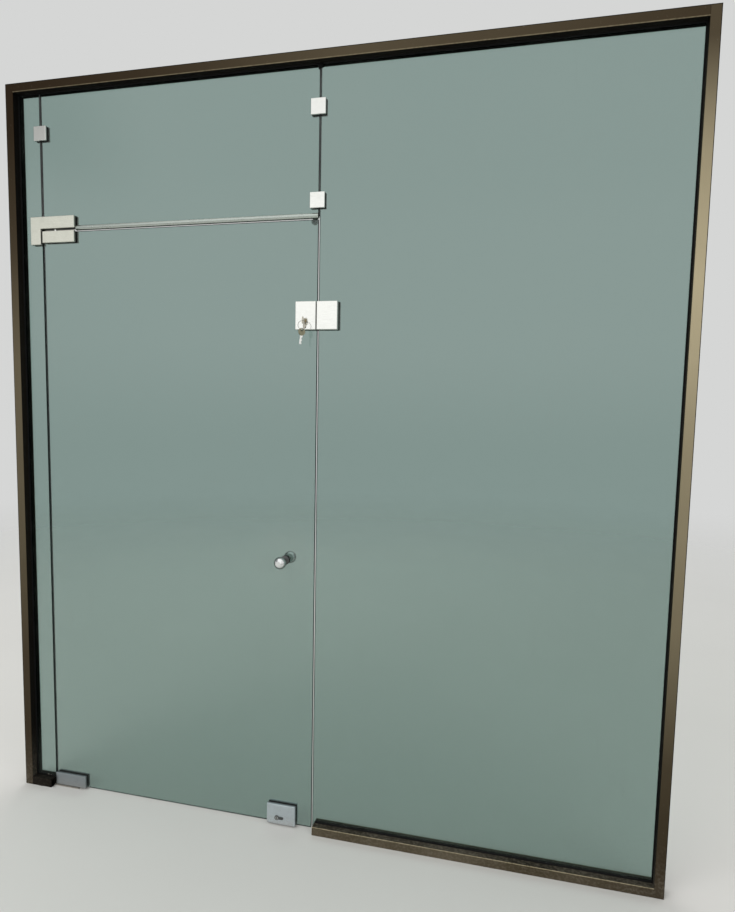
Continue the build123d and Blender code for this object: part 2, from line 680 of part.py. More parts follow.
def overpanel_patch():
    """L patch that joins side glass and transom and carries the upper pivot."""
    in_glass, in_core = overpanel_screw_places()
    front = overpanel_plate(-PAD_FACE, -FACE - PATCH_PROUD)
    back = overpanel_plate(PAD_FACE, FACE + PATCH_PROUD) + overpanel_core()
    for x, z in in_glass:
        front += glass_boss(x, z)
    screws = []
    for x, z in in_glass + in_core:
        front -= standard_bore(x, z, PATCH_PROUD)
        back -= standard_bore(x, z, PATCH_PROUD)
        screws.append(standard_screw(x, z, PATCH_PROUD))
    seat = (OVERPANEL_ARM_BOTTOM - 1, OVERPANEL_ARM_BOTTOM + PIN_TOP_BITE)
    back -= rod_z(PIVOT_X, 0, *seat, PIN_DIAMETER)
    front -= rod_z(PIVOT_X, 0, *seat, PIN_DIAMETER)
    clearances = [pad_hole(x, z) for x, z in in_glass]
    x = (DOOR_LEFT, DOOR_LEFT + NOTCH_LENGTH)
    z = (OVERPANEL_ARM_BOTTOM, TRANSOM_BOTTOM + NOTCH_HEIGHT)
    clearances.append(block(x, (-POCKET, POCKET), z))
    pads = []
    for inner, outer in ((-PAD_FACE, -FACE), (FACE, PAD_FACE)):
        pad = upright(overpanel_outline(PAD_INSET), inner, outer)
        for clearance in clearances:
            pad -= clearance
        pads.append(pad)
    nodes = {"overpanel_patch_front": front, "overpanel_patch_back": back}
    nodes["overpanel_pads"] = pads
    return nodes, screws


def top_pivot_pin():
    """Steel pin pressed into the overpanel patch, with chamfered ends."""
    low = TOP_PATCH_TOP - PIN_TOP_REACH
    pin = rod_z(PIVOT_X, 0, low, OVERPANEL_ARM_BOTTOM + PIN_TOP_BITE, PIN_DIAMETER)
    return chamfer(pin.edges().filter_by(GeomType.CIRCLE), 1)


def top_pivot_bush():
    """Plastic bush in the door's top patch."""
    low = TOP_PATCH_TOP - BUSH_LENGTH
    bore = PIN_DIAMETER + 2 * PIVOT_PLAY
    ring = rod_z(PIVOT_X, 0, low, TOP_PATCH_TOP, bore + 2 * BUSH_WALL)
    return ring - rod_z(PIVOT_X, 0, low - 1, TOP_PATCH_TOP + 1, bore)


def bottom_pivot_socket():
    """Steel cup in the door's bottom patch that turns on the floor spindle."""
    bore = SPINDLE_DIAMETER + 2 * PIVOT_PLAY
    low = BOTTOM_PATCH_BOTTOM
    cup = rod_z(PIVOT_X, 0, low, low + SOCKET_LENGTH, bore + 2 * SOCKET_WALL)
    return cup - rod_z(PIVOT_X, 0, low - 1, low + SOCKET_LENGTH - SOCKET_ROOF, bore)


def floor_pivot_base():
    """Base plate on the floor with its spindle; it butts against the stub sill."""
    x = (SIDE_EDGE, PIVOT_X + BASE_REACH)
    base = block(x, (-BASE_DEPTH / 2, BASE_DEPTH / 2), (0, BASE_THICKNESS))
    tip = BOTTOM_PATCH_BOTTOM + SOCKET_LENGTH - SOCKET_ROOF - PIVOT_PLAY
    spindle = rod_z(PIVOT_X, 0, BASE_THICKNESS, tip, SPINDLE_DIAMETER)
    rim = spindle.edges().filter_by(GeomType.CIRCLE).sort_by(Axis.Z)[-1]
    base += chamfer(rim, 1)
    for side in (-1, 1):
        base -= rod_z(PIVOT_X + side * BASE_HOLE_OFFSET, 0, 0, BASE_THICKNESS, BASE_HOLE)
    return base


def patch_end_places():
    """Screws of the door's patches that go through the glass beyond the notch."""
    x = (DOOR_LEFT + NOTCH_LENGTH + PATCH_RIGHT) / 2
    top = TOP_PATCH_TOP - TOP_PATCH_HEIGHT / 2
    bottom = BOTTOM_PATCH_BOTTOM + BOTTOM_PATCH_HEIGHT / 2
    return ((x, top), (x, bottom))


def door_patch(z, core_z, seat, seat_diameter, end_place):
    """A pair of plates on the door glass with a core block that holds a pivot bearing."""
    wide = (PATCH_LEFT, PATCH_RIGHT)
    front = plate(wide, z, -PAD_FACE, -FACE - PATCH_PROUD, PLATE_ROUND)
    back = plate(wide, z, PAD_FACE, FACE + PATCH_PROUD, PLATE_ROUND)
    core_x = (DOOR_LEFT + PATCH_EDGE_INSET, DOOR_LEFT + NOTCH_LENGTH - CORE_PLAY)
    core = block(core_x, (-PAD_FACE, PAD_FACE), core_z)
    edges = core.edges().filter_by(Axis.Y)
    middle = (z[0] + z[1]) / 2
    inner = sorted(edges, key=lambda e: (-e.center().X, abs(e.center().Z - middle)))[0]
    back += fillet(inner, NOTCH_ROUND)
    front += glass_boss(*end_place)
    height = (core_z[0] + core_z[1]) / 2
    core_right = DOOR_LEFT + NOTCH_LENGTH - CORE_SCREW_INSET / 2
    places = [end_place, (DOOR_LEFT + CORE_SCREW_INSET, height), (core_right, height)]
    screws = []
    for x, height in places:
        front -= standard_bore(x, height, PATCH_PROUD)
        back -= standard_bore(x, height, PATCH_PROUD)
        screws.append(standard_screw(x, height, PATCH_PROUD))
    bore = rod_z(PIVOT_X, 0, *seat, seat_diameter)
    narrow = (PATCH_LEFT + PAD_INSET, PATCH_RIGHT - PAD_INSET)
    notch_space = block((DOOR_LEFT - 1, DOOR_LEFT + NOTCH_LENGTH), (-POCKET, POCKET), core_z)
    low = max(z[0] + PAD_INSET, DOOR_BOTTOM)
    high = min(z[1] - PAD_INSET, DOOR_TOP)
    pads = both_pads(narrow, (low, high), [notch_space, pad_hole(*end_place)])
    return front - bore, back - bore, pads, screws


def door_patches():
    """Top and bottom patch of the door."""
    top_end, bottom_end = patch_end_places()
    z = (TOP_PATCH_TOP - TOP_PATCH_HEIGHT, TOP_PATCH_TOP)
    core = (DOOR_TOP - NOTCH_HEIGHT + CORE_PLAY, TOP_PATCH_TOP)
    bush = PIN_DIAMETER + 2 * PIVOT_PLAY + 2 * BUSH_WALL
    seat = (TOP_PATCH_TOP - BUSH_LENGTH, TOP_PATCH_TOP + 1)
    front, back, pads, screws = door_patch(z, core, seat, bush, top_end)
    nodes = {"top_patch_front": front, "top_patch_back": back}
    z = (BOTTOM_PATCH_BOTTOM, BOTTOM_PATCH_BOTTOM + BOTTOM_PATCH_HEIGHT)
    core = (BOTTOM_PATCH_BOTTOM, DOOR_BOTTOM + NOTCH_HEIGHT - CORE_PLAY)
    cup = SPINDLE_DIAMETER + 2 * PIVOT_PLAY + 2 * SOCKET_WALL
    seat = (BOTTOM_PATCH_BOTTOM - 1, BOTTOM_PATCH_BOTTOM + SOCKET_LENGTH)
    front, back, more_pads, more_screws = door_patch(z, core, seat, cup, bottom_end)
    nodes.update({"bottom_patch_front": front, "bottom_patch_back": back})
    nodes["door_patch_pads"] = pads + more_pads
    return nodes, screws + more_screws


def transom_rail():
    """Slotted tube on the lower edge of the transom glass."""
    x = (ARM_RIGHT, DOOR_RIGHT)
    tube = rod_x(0, RAIL_HEIGHT, *x, RAIL_DIAMETER)
    tube -= rod_x(0, RAIL_HEIGHT, *x, RAIL_DIAMETER - 2 * RAIL_WALL)
    half = FACE + RAIL_SLOT_PLAY
    return tube - block(x, (-half, half), (RAIL_HEIGHT, RAIL_HEIGHT + RAIL_DIAMETER))


def door_stop():
    """Plate screwed to the rail's inner side, with a rubber buffer against the door."""
    x = DOOR_RIGHT - STOP_INSET
    half = STOP_DIAMETER / 2
    buffer_z = DOOR_TOP - STOP_BITE / 2
    face = FACE + PIVOT_PLAY
    seat = face + STOP_LENGTH
    wide = (x - half, x + half)
    arm = block(wide, (seat, seat + STOP_PLATE), (buffer_z, RAIL_HEIGHT + half))
    arm += rod_y(x, buffer_z, seat, seat + STOP_PLATE, STOP_DIAMETER)
    saddle = block(wide, (0, seat), (RAIL_HEIGHT - half / 2, RAIL_HEIGHT + half / 2))
    saddle -= rod_x(0, RAIL_HEIGHT, *wide, RAIL_DIAMETER)
    arm += saddle
    post = rod_y(x, buffer_z, face + STOP_LENGTH / 2, seat, STOP_SCREW)
    rubber = rod_y(x, buffer_z, face, seat, STOP_DIAMETER)
    rubber = chamfer(rubber.edges().filter_by(GeomType.CIRCLE).sort_by(Axis.Y)[0], 1)
    bore = rod_y(x, buffer_z, face, seat, STOP_SCREW)
    return {"door_stop_arm": arm + post, "door_stop_buffer": rubber - bore}


def cylinder_profile(x, z, tail_angle, grow):
    """Euro cylinder outline; tail_angle 0 hangs the tail down, 90 lays it towards +X."""
    ring = Circle(CYLINDER_ROUND / 2 + grow)
    width = CYLINDER_TAIL + 2 * grow
    length = CYLINDER_TOTAL - CYLINDER_ROUND / 2 - CYLINDER_TAIL / 2
    tail = Pos(0, -length / 2) * Rectangle(width, length)
    tail += Pos(0, -length) * Circle(width / 2)
    return Pos(x, z) * Rot(0, 0, tail_angle) * (ring + tail)


def lock_cylinder(x, z, tail_angle, face):
    """Half cylinder body with the bore of its plug."""
    body = upright(cylinder_profile(x, z, tail_angle, 0), -face, CYLINDER_DEPTH)
    return body - rod_y(x, z, -face - 1, CYLINDER_DEPTH + 1, PLUG_DIAMETER + 2 * PLUG_PLAY)


def lock_plug(x, z, face, cam_angle):
    """Turning plug with its keyway and the cam at its inner end."""
    front = -face - PLUG_PLAY
    end = CYLINDER_DEPTH + PLUG_PLAY
    plug = rod_y(x, z, front, end, PLUG_DIAMETER)
    slot = (front, front + KEYWAY_DEPTH)
    half = KEYWAY_WIDTH / 2
    plug -= block((x - half, x + half), slot, (z - KEYWAY_HEIGHT / 2, z + KEYWAY_HEIGHT / 2))
    lobe = Circle(PLUG_DIAMETER / 2 + PLUG_PLAY)
    reach = CAM_REACH - CAM_WIDTH / 2
    lobe += Pos(0, reach / 2) * Rectangle(CAM_WIDTH, reach) + Pos(0, reach) * Circle(CAM_WIDTH / 2)
    turned = Pos(x, z) * Rot(0, 0, cam_angle) * lobe
    return plug + upright(turned, end, end + CAM_LENGTH)


def lock_shell(x, inner, outer):
    """A lock or strike cover: thick plate with soft edges and a relief on its glass side."""
    high = (LOCK_BOTTOM, LOCK_TOP)
    return plate(x, high, inner, outer, LOCK_ROUND)


def lock_screw_places(x_edge, side):
    """Four screws near the corners of a lock box; side points from the joint outwards."""
    low = LOCK_BOTTOM + LOCK_SCREW_INSET
    high = LOCK_TOP - LOCK_SCREW_INSET + LOCK_NOTCH_MARGIN
    near = x_edge + side * (LOCK_SCREW_INSET / 2 + LOCK_NOTCH_MARGIN / 2)
    far = x_edge + side * (LOCK_NOTCH_DEPTH - LOCK_SCREW_INSET / 2)
    return [(x, z) for x in (near, far) for z in (low, high)]


def lock_screw(x, z, face):
    """The M4 screw of a lock cover."""
    return screw(x, z, face, -PAD_FACE - LOCK_WALL, LOCK_SCREW, LOCK_SCREW_HEAD)


def lock_bore(x, z, face):
    """Bore for the M4 screw of a lock cover."""
    return screw_bore(x, z, face, -PAD_FACE - LOCK_WALL, LOCK_SCREW, LOCK_SCREW_HEAD)


def relief(x, z, posts):
    """Hollow on the glass side of an outer cover, around the pillars that take the screws."""
    depth = (-PAD_FACE - LOCK_RELIEF, -PAD_FACE)
    inner = block((x[0] + LOCK_WALL, x[1] - LOCK_WALL), depth, (z[0] + LOCK_WALL, z[1] - LOCK_WALL))
    for place in posts:
        inner -= rod_y(*place, *depth, LOCK_SCREW_HEAD)
    return inner


def lock_notch_space(x):
    """Room of the glass notch for the lock's case or the strike's keep, between the pads."""
    return block(x, (-POCKET, POCKET), (LOCK_NOTCH_LOW, LOCK_NOTCH_HIGH))


def lock_pad_height():
    """Lower and upper end of the pads under the lock's and the strike's covers."""
    return LOCK_BOTTOM + PAD_INSET, LOCK_TOP - PAD_INSET


def centre_lock():
    """Lock box on the door: outer cover, inner housing with the case, cylinder and bolt."""
    x = (LOCK_LEFT, LOCK_RIGHT)
    z = (LOCK_BOTTOM, LOCK_TOP)
    places = lock_screw_places(DOOR_RIGHT, -1)
    outline = cylinder_profile(PLUG_X, PLUG_Z, 0, CYLINDER_FIT)
    wall = cylinder_profile(PLUG_X, PLUG_Z, 0, CYLINDER_FIT + LOCK_WALL)
    front = lock_shell(x, -PAD_FACE, -LOCK_FACE)
    hollow = relief(x, z, places) - upright(wall, -PAD_FACE - LOCK_RELIEF, -PAD_FACE)
    front = front - hollow - upright(outline, -LOCK_FACE - 1, PAD_FACE)
    back = lock_shell(x, PAD_FACE, LOCK_FACE)
    case_x = (DOOR_RIGHT - LOCK_NOTCH_DEPTH + LOCK_CORE_PLAY, LOCK_RIGHT)
    case_z = (LOCK_NOTCH_LOW + LOCK_CORE_PLAY, LOCK_NOTCH_HIGH - LOCK_CORE_PLAY)
    case = block(case_x, (-PAD_FACE, PAD_FACE), case_z)
    edges = case.edges().filter_by(Axis.Y).filter_by(lambda e: e.center().X < case_x[0] + 1)
    back += fillet(edges, NOTCH_ROUND)
    back -= upright(outline, -PAD_FACE - 1, CYLINDER_DEPTH)
    cam_end = CYLINDER_DEPTH + CAM_LENGTH + 1
    back -= rod_y(PLUG_X, PLUG_Z, CYLINDER_DEPTH, cam_end, 2 * CAM_RECESS)
    half = BOLT_HEIGHT / 2 + BOLT_PLAY
    tail = LOCK_RIGHT - BOLT_SETBACK - BOLT_LENGTH - 1
    channel_y = (-PAD_FACE - 1, BOLT_THICKNESS / 2 + BOLT_PLAY)
    back -= block((tail, LOCK_RIGHT + 1), channel_y, (BOLT_Z - half, BOLT_Z + half))
    screws = []
    for place in places:
        front -= lock_bore(*place, LOCK_FACE)
        back -= lock_bore(*place, LOCK_FACE)
        screws.append(lock_screw(*place, LOCK_FACE))
    notch_x = (DOOR_RIGHT - LOCK_NOTCH_DEPTH, DOOR_RIGHT + 1)
    holes = [lock_notch_space(notch_x), upright(outline, -POCKET, POCKET)]
    pads = both_pads((LOCK_LEFT + PAD_INSET, DOOR_RIGHT), lock_pad_height(), holes)
    nodes = {"lock_front": front, "lock_back": back}
    face = LOCK_FACE + CYLINDER_PROUD
    nodes["lock_cylinder"] = lock_cylinder(PLUG_X, PLUG_Z, 0, face)
    nodes["lock_plug"] = lock_plug(PLUG_X, PLUG_Z, face, 0)
    nodes["lock_bolt"] = lock_bolt()
    return nodes, screws, pads


def lock_bolt():
    """Flat bolt of the centre lock, drawn back flush with the lock's edge."""
    end = LOCK_RIGHT - BOLT_SETBACK
    half = BOLT_HEIGHT / 2
    thick = BOLT_THICKNESS / 2
    bolt = block((end - BOLT_LENGTH, end), (-thick, thick), (BOLT_Z - half, BOLT_Z + half))
    nose = bolt.faces().sort_by(Axis.X)[-1]
    return chamfer(nose.edges(), BOLT_CHAMFER)


def strike():
    """Strike box on the fixed pane: two covers and the keep that receives the bolt."""
    x = (STRIKE_LEFT, STRIKE_RIGHT)
    z = (LOCK_BOTTOM, LOCK_TOP)
    places = lock_screw_places(FIXED_LEFT, 1)
    front = lock_shell(x, -PAD_FACE, -LOCK_FACE)
    back = lock_shell(x, PAD_FACE, LOCK_FACE)
    far = FIXED_LEFT + LOCK_NOTCH_DEPTH - LOCK_CORE_PLAY
    keep_z = (LOCK_NOTCH_LOW + LOCK_CORE_PLAY, LOCK_NOTCH_HIGH - LOCK_CORE_PLAY)
    keep = block((STRIKE_LEFT, far), (-PAD_FACE, PAD_FACE), keep_z)
    edges = keep.edges().filter_by(Axis.Y).filter_by(lambda e: e.center().X > far - 1)
    keep = fillet(edges, NOTCH_ROUND)
    half = BOLT_HEIGHT / 2 + STRIKE_PLAY
    depth = STRIKE_LEFT + BOLT_THROW + STRIKE_POCKET_SPARE
    keep -= block((STRIKE_LEFT - 1, depth), (-POCKET, POCKET), (BOLT_Z - half, BOLT_Z + half))
    screws = []
    for place in places:
        bore = lock_bore(*place, LOCK_FACE)
        front -= bore
        back -= bore
        keep -= bore
        screws.append(lock_screw(*place, LOCK_FACE))
    holes = [lock_notch_space((FIXED_LEFT - 1, FIXED_LEFT + LOCK_NOTCH_DEPTH))]
    pads = both_pads((FIXED_LEFT, STRIKE_RIGHT - PAD_INSET), lock_pad_height(), holes)
    nodes = {"strike_front": front, "strike_back": back, "strike_keep": keep}
    return nodes, screws, pads


def key_shape():
    """A key lying in the plane of its bow: tip at the origin, bow towards +Y, thickness along Z."""
    blade = Pos(0, KEY_BLADE_LENGTH / 2) * Rectangle(KEY_BLADE_HEIGHT, KEY_BLADE_LENGTH)
    notch_width = KEY_BLADE_LENGTH / 9
    for step in range(1, 6):
        depth = 1.0 + 0.8 * (step % 3)
        place = Pos(KEY_BLADE_HEIGHT / 2, step * notch_width * 1.35)
        blade -= place * Rot(0, 0, 45) * Rectangle(depth * 1.4, depth * 1.4)
    end = KEY_BLADE_LENGTH + KEY_NECK
    neck = Pos(0, KEY_BLADE_LENGTH + KEY_NECK / 2)
    outline = blade + neck * Rectangle(KEY_BLADE_HEIGHT + 2, KEY_NECK + 2)
    centre = end + KEY_BOW / 2 - 1
    outline += Pos(0, centre) * Circle(KEY_BOW / 2)
    outline -= Pos(0, centre + KEY_BOW / 2 - KEY_HOLE_INSET) * Circle(KEY_HOLE / 2)
    return extrude(outline, KEY_THICKNESS / 2, both=True)


def key_hole_distance():
    """Distance from a key's tip to the middle of the hole in its bow."""
    return KEY_BLADE_LENGTH + KEY_NECK - 1 + KEY_BOW - KEY_HOLE_INSET


def keys():
    """The key in the plug, the ring through its bow and the spare key that hangs on the ring."""
    tip = -LOCK_FACE - CYLINDER_PROUD + KEYWAY_DEPTH - 1
    upright_plane = Plane(origin=(PLUG_X, tip, PLUG_Z), x_dir=(0, 0, 1), z_dir=(1, 0, 0))
    key = upright_plane.location * key_shape()
    ring_y = tip - key_hole_distance()
    droop = KEY_HOLE / 2 - RING_WIRE / 2 - RING_PLAY
    ring_top = PLUG_Z - droop
    ring_z = ring_top - RING_DIAMETER / 2
    ring = Pos(PLUG_X, ring_y, ring_z) * Rot(90, 0, 0) * Torus(RING_DIAMETER / 2, RING_WIRE / 2)
    spare_hole = ring_z - RING_DIAMETER / 2 - droop + SPARE_PLAY
    hanging = Pos(PLUG_X, ring_y, spare_hole) * Rot(0, 0, -SPARE_TURN) * Rot(-SPARE_LEAN, 0, 0)
    upwards = Pos(0, 0, -key_hole_distance()) * Rot(0, 90, 0) * Rot(0, 0, 90)
    spare = hanging * upwards * key_shape()
    return {"key": key, "key_ring": ring, "spare_key": spare}


def floor_lock():
    """Lock patch at the door's foot with a lying cylinder and a bolt into the floor."""
    x = (FLOOR_LEFT, FLOOR_RIGHT)
    z = (FLOOR_LOW, FLOOR_HIGH)
    front = plate(x, z, -PAD_FACE, -FLOOR_FACE, PLATE_ROUND)
    back = plate(x, z, PAD_FACE, FLOOR_FACE, PLATE_ROUND)
    case_x = (x[0] + FLOOR_NOTCH_MARGIN + LOCK_CORE_PLAY, x[1] - FLOOR_NOTCH_MARGIN - LOCK_CORE_PLAY)
    case_z = (FLOOR_LOW, FLOOR_HIGH - FLOOR_NOTCH_MARGIN - LOCK_CORE_PLAY)
    case = block(case_x, (-PAD_FACE, PAD_FACE), case_z)
    edges = case.edges().filter_by(Axis.Y).filter_by(lambda e: e.center().Z > case_z[1] - 1)
    back += fillet(edges, NOTCH_ROUND)
    outline = cylinder_profile(FLOOR_PLUG_X, FLOOR_PLUG_Z, 90, CYLINDER_FIT)
    front -= upright(outline, -FLOOR_FACE - 1, PAD_FACE)
    back -= upright(outline, -PAD_FACE - 1, CYLINDER_DEPTH)
    cam_end = CYLINDER_DEPTH + CAM_LENGTH + 1
    back -= rod_y(FLOOR_PLUG_X, FLOOR_PLUG_Z, CYLINDER_DEPTH, cam_end, 2 * CAM_RECESS)
    half = FLOOR_BOLT_WIDTH / 2 + BOLT_PLAY
    thick = BOLT_THICKNESS / 2
    bolt_x = (FLOOR_BOLT_X - half, FLOOR_BOLT_X + half)
    top = FLOOR_LOW + FLOOR_BOLT_LIFT + FLOOR_BOLT_LENGTH + 1
    back -= block(bolt_x, (-PAD_FACE - 1, thick + BOLT_PLAY), (FLOOR_LOW - 1, top))
    half -= BOLT_PLAY
    low = FLOOR_LOW + FLOOR_BOLT_LIFT
    bolt = block((FLOOR_BOLT_X - half, FLOOR_BOLT_X + half), (-thick, thick), (low, top - 1))
    bolt = chamfer(bolt.faces().sort_by(Axis.Z)[0].edges(), BOLT_CHAMFER)
    inset = FLOOR_NOTCH_MARGIN + LOCK_SCREW_INSET / 2
    high = FLOOR_HIGH - inset
    screws = []
    for place in ((x[0] + inset, high), (x[1] - inset, high), (x[0] + inset, FLOOR_LOW + inset)):
        front -= lock_bore(*place, FLOOR_FACE)
        back -= lock_bore(*place, FLOOR_FACE)
        screws.append(lock_screw(*place, FLOOR_FACE))
    notch_x = (x[0] + FLOOR_NOTCH_MARGIN, x[1] - FLOOR_NOTCH_MARGIN)
    holes = [block(notch_x, (-POCKET, POCKET), (FLOOR_LOW - 1, FLOOR_HIGH - FLOOR_NOTCH_MARGIN))]
    pads = both_pads((x[0] + PAD_INSET, x[1] - PAD_INSET), (FLOOR_LOW, FLOOR_HIGH - PAD_INSET), holes)
    nodes = {"floor_lock_front": front, "floor_lock_back": back, "floor_lock_bolt": bolt}
    face = FLOOR_FACE + FLOOR_PLUG_PROUD
    nodes["floor_lock_cylinder"] = lock_cylinder(FLOOR_PLUG_X, FLOOR_PLUG_Z, 90, face)
    nodes["floor_lock_plug"] = lock_plug(FLOOR_PLUG_X, FLOOR_PLUG_Z, face, 90)
    return nodes, screws, pads


def knob_body():
    """A knob turned about Z: rose at z = 0, ball in front of it."""
    radius = KNOB_DIAMETER / 2
    centre = KNOB_REACH - FACE - KNOB_WASHER
    neck = KNOB_NECK / 2
    flat = KNOB_FLAT
    foot = centre - (radius ** 2 - neck ** 2) ** 0.5
    crown = centre + (radius ** 2 - flat ** 2) ** 0.5
    rose = KNOB_ROSE / 2
    profile = Polyline(
        (0, crown),
        (0, 0),
        (rose, 0),
        (rose, KNOB_ROSE_THICKNESS - 1),
        (rose - 1, KNOB_ROSE_THICKNESS),
        (neck, KNOB_ROSE_THICKNESS + 2),
        (neck, foot),
    )
    ball = ThreePointArc((neck, foot), (radius, centre), (flat, crown))
    closing = Line((flat, crown), (0, crown))
    face = make_face(profile + ball + closing)
    return revolve(Plane.XZ * face, Axis.Z)


def knobs():
    """A pair of fixed knobs, back to back through the door glass."""
    x = KNOB_X
    z = KNOB_HEIGHT
    rose = FACE + KNOB_WASHER
    reach = KNOB_ROSE_THICKNESS + 10
    front = Pos(x, -rose, z) * Rot(90, 0, 0) * knob_body()
    bore = KNOB_STUD + 2 * KNOB_STUD_PLAY
    front -= rod_y(x, z, -rose - reach - KNOB_STUD_PLAY, -rose, bore)
    back = Pos(x, rose, z) * Rot(-90, 0, 0) * knob_body()
    back += rod_y(x, z, -rose - reach, rose, KNOB_STUD)
    washers = []
    for start, end in ((-rose, -FACE), (FACE, rose)):
        washer = rod_y(x, z, start, end, KNOB_ROSE)
        washers.append(washer - rod_y(x, z, start, end, bore))
    return {"knob_front": front, "knob_back": back, "knob_washers": washers}


def all_nodes():
    """Every piece of the facade by the name of its node."""
    nodes = {
        "jamb_left": jamb(LEFT, 1),
        "jamb_right": jamb(RIGHT, -1),
        "head": head(),
        "sill_right": sill_right(),
        "sill_left": sill_left(),
        "corner_screws": corner_screws(),
        "outer_gasket": outer_gasket(),
        "inner_gasket": inner_gasket(),
        "setting_blocks": setting_blocks(),
        "side_glass": side_glass(),
        "transom_glass": transom_glass(),
        "fixed_glass": fixed_glass(),
        "door_glass": door_glass(),
        "side_joint_seal": joint_seal(SIDE_JOINT, OVERPANEL_TOP),
        "middle_joint_seal": joint_seal(MIDDLE_JOINT, TRANSOM_BOTTOM),
        "top_pivot_pin": top_pivot_pin(),
        "top_pivot_bush": top_pivot_bush(),
        "bottom_pivot_socket": bottom_pivot_socket(),
        "floor_pivot_base": floor_pivot_base(),
        "transom_rail": transom_rail(),
    }
    nodes.update(beads())
    nodes.update(clamps())
    overpanel, fixed_screws = overpanel_patch()
    strikes, strike_screws, strike_pads = strike()
    patches, door_screws = door_patches()
    lock, lock_screws, lock_pads = centre_lock()
    floor, floor_screws, floor_pads = floor_lock()
    for group in (overpanel, strikes, patches, lock, floor, door_stop(), keys(), knobs()):
        nodes.update(group)
    nodes["overpanel_pads"] += strike_pads
    nodes["door_patch_pads"] += lock_pads + floor_pads
    nodes["fixed_patch_screws"] = fixed_screws + strike_screws
    nodes["door_patch_screws"] = door_screws + lock_screws + floor_screws
    return nodes


def write(name, shape):
    """Write one node; a list of pieces becomes a group of separate solids."""
    if isinstance(shape, list):
        shape = Compound(children=[piece.solid() for piece in shape])
    export_step(shape, os.path.join("parts", name + ".step"))


def main():
    """Build every node and write it to its own file."""
    os.makedirs("parts", exist_ok=True)
    for name, shape in all_nodes().items():
        write(name, shape)


main()
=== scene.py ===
"""Looks of a framed glass facade: bronze frame, tinted panes, fittings, keys and a studio."""

import logging
import math
from collections.abc import Callable
from dataclasses import dataclass
from enum import Enum

import bmesh
import bpy
from mathutils import Euler, Matrix, Vector


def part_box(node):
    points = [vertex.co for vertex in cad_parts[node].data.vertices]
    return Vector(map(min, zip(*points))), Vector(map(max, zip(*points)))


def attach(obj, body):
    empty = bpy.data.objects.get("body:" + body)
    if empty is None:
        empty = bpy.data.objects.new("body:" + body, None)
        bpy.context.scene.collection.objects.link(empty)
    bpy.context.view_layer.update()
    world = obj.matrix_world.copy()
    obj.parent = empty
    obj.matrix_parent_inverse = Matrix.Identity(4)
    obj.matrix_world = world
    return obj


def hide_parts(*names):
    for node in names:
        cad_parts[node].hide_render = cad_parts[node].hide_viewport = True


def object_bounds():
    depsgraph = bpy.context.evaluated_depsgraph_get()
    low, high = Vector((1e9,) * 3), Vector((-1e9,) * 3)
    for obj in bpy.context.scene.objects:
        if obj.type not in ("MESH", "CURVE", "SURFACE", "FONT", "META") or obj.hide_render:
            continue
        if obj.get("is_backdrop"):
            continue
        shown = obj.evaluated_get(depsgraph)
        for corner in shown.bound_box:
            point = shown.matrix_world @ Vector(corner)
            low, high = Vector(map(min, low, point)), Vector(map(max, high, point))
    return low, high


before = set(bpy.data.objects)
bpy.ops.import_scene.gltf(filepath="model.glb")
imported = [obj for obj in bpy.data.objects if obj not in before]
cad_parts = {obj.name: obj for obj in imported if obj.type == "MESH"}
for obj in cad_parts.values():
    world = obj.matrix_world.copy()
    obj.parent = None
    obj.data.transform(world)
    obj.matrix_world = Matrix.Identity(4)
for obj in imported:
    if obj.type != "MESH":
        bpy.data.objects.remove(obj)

LOG = logging.getLogger("facade")
FACADE = "facade"
KEY_BODY = "lock_key"

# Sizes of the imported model, in metres
FRAME_HALF = 1.1625
FRAME_HEIGHT = 2.61
FRAME_FACE = 0.03
FRAME_FRONT = -0.035
GLASS_FACE = 0.005

# Soft edges of painted bands, in metres from the line that each follows
# The rim, reveal and ledge bands below are painted black shade on the frame
RIM_EDGE = (-0.0026, -0.0014)
RIM_DEPTH = (0.003, 0.001)
REVEAL_EDGE = (0.0012, 0.0004)
REVEAL_FRONT = (0.0008, 0.0018)
REVEAL_BACK = (0.0225, 0.0215)
LEDGE_EDGE = (0.0, 0.0004)
# Edge of the pale line along a bar: a painted highlight that partly stands for wear
WORN_HIGHLIGHT_LINE = (0.002, 0.0006)
# Edge of the glass's rim, whose near-black green is partly painted shade
GROUND_RIM = (-0.0003, -0.00005)
# Where the painted shade on a fitting's sides begins, behind its face
SHADE_FREE_EDGE = 0.001
# Edge of the near-white blade below a key's neck, a painted highlight
NECK_EDGE = (0.0, -0.0015)

Pair = tuple[float, float]
Colour = tuple[float, float, float]
Point = tuple[float, float, float]
BMesh = bmesh.types.BMesh
Mesh = bpy.types.Mesh
Object = bpy.types.Object
Operator = Callable[["Value", "Value | float"], "Value"]

# Half of a key blade's section: shares of half its height and of half its thickness
BLADE_SIDE = ((-1.0, 0.7), (-0.72, 1.0), (-0.5, 1.0), (-0.4, 0.45), (-0.05, 0.45), (0.02, 1.0))


def paint(red: int, green: int, blue: int) -> Colour:
    """Turn a colour given in steps of 255 into linear light, by the sRGB curve.

    Args:
        red: Red, from 0 to 255.
        green: Green, from 0 to 255.
        blue: Blue, from 0 to 255.

    Returns:
        The colour in linear light.
    """
    return tuple(
        step / 255 / 12.92 if step < 11 else ((step / 255 + 0.055) / 1.055) ** 2.4
        for step in (red, green, blue)
    )


class Grain(Enum):
    """Which way the fine lines of a finish run, as pattern scales along X, Y and Z."""

    LEVEL = (3.0, 1400.0, 1400.0)
    UPRIGHT = (1400.0, 1400.0, 3.0)
    FINE_LEVEL = (40.0, 2600.0, 2600.0)
    EVEN = (700.0, 700.0, 700.0)


# Node trees


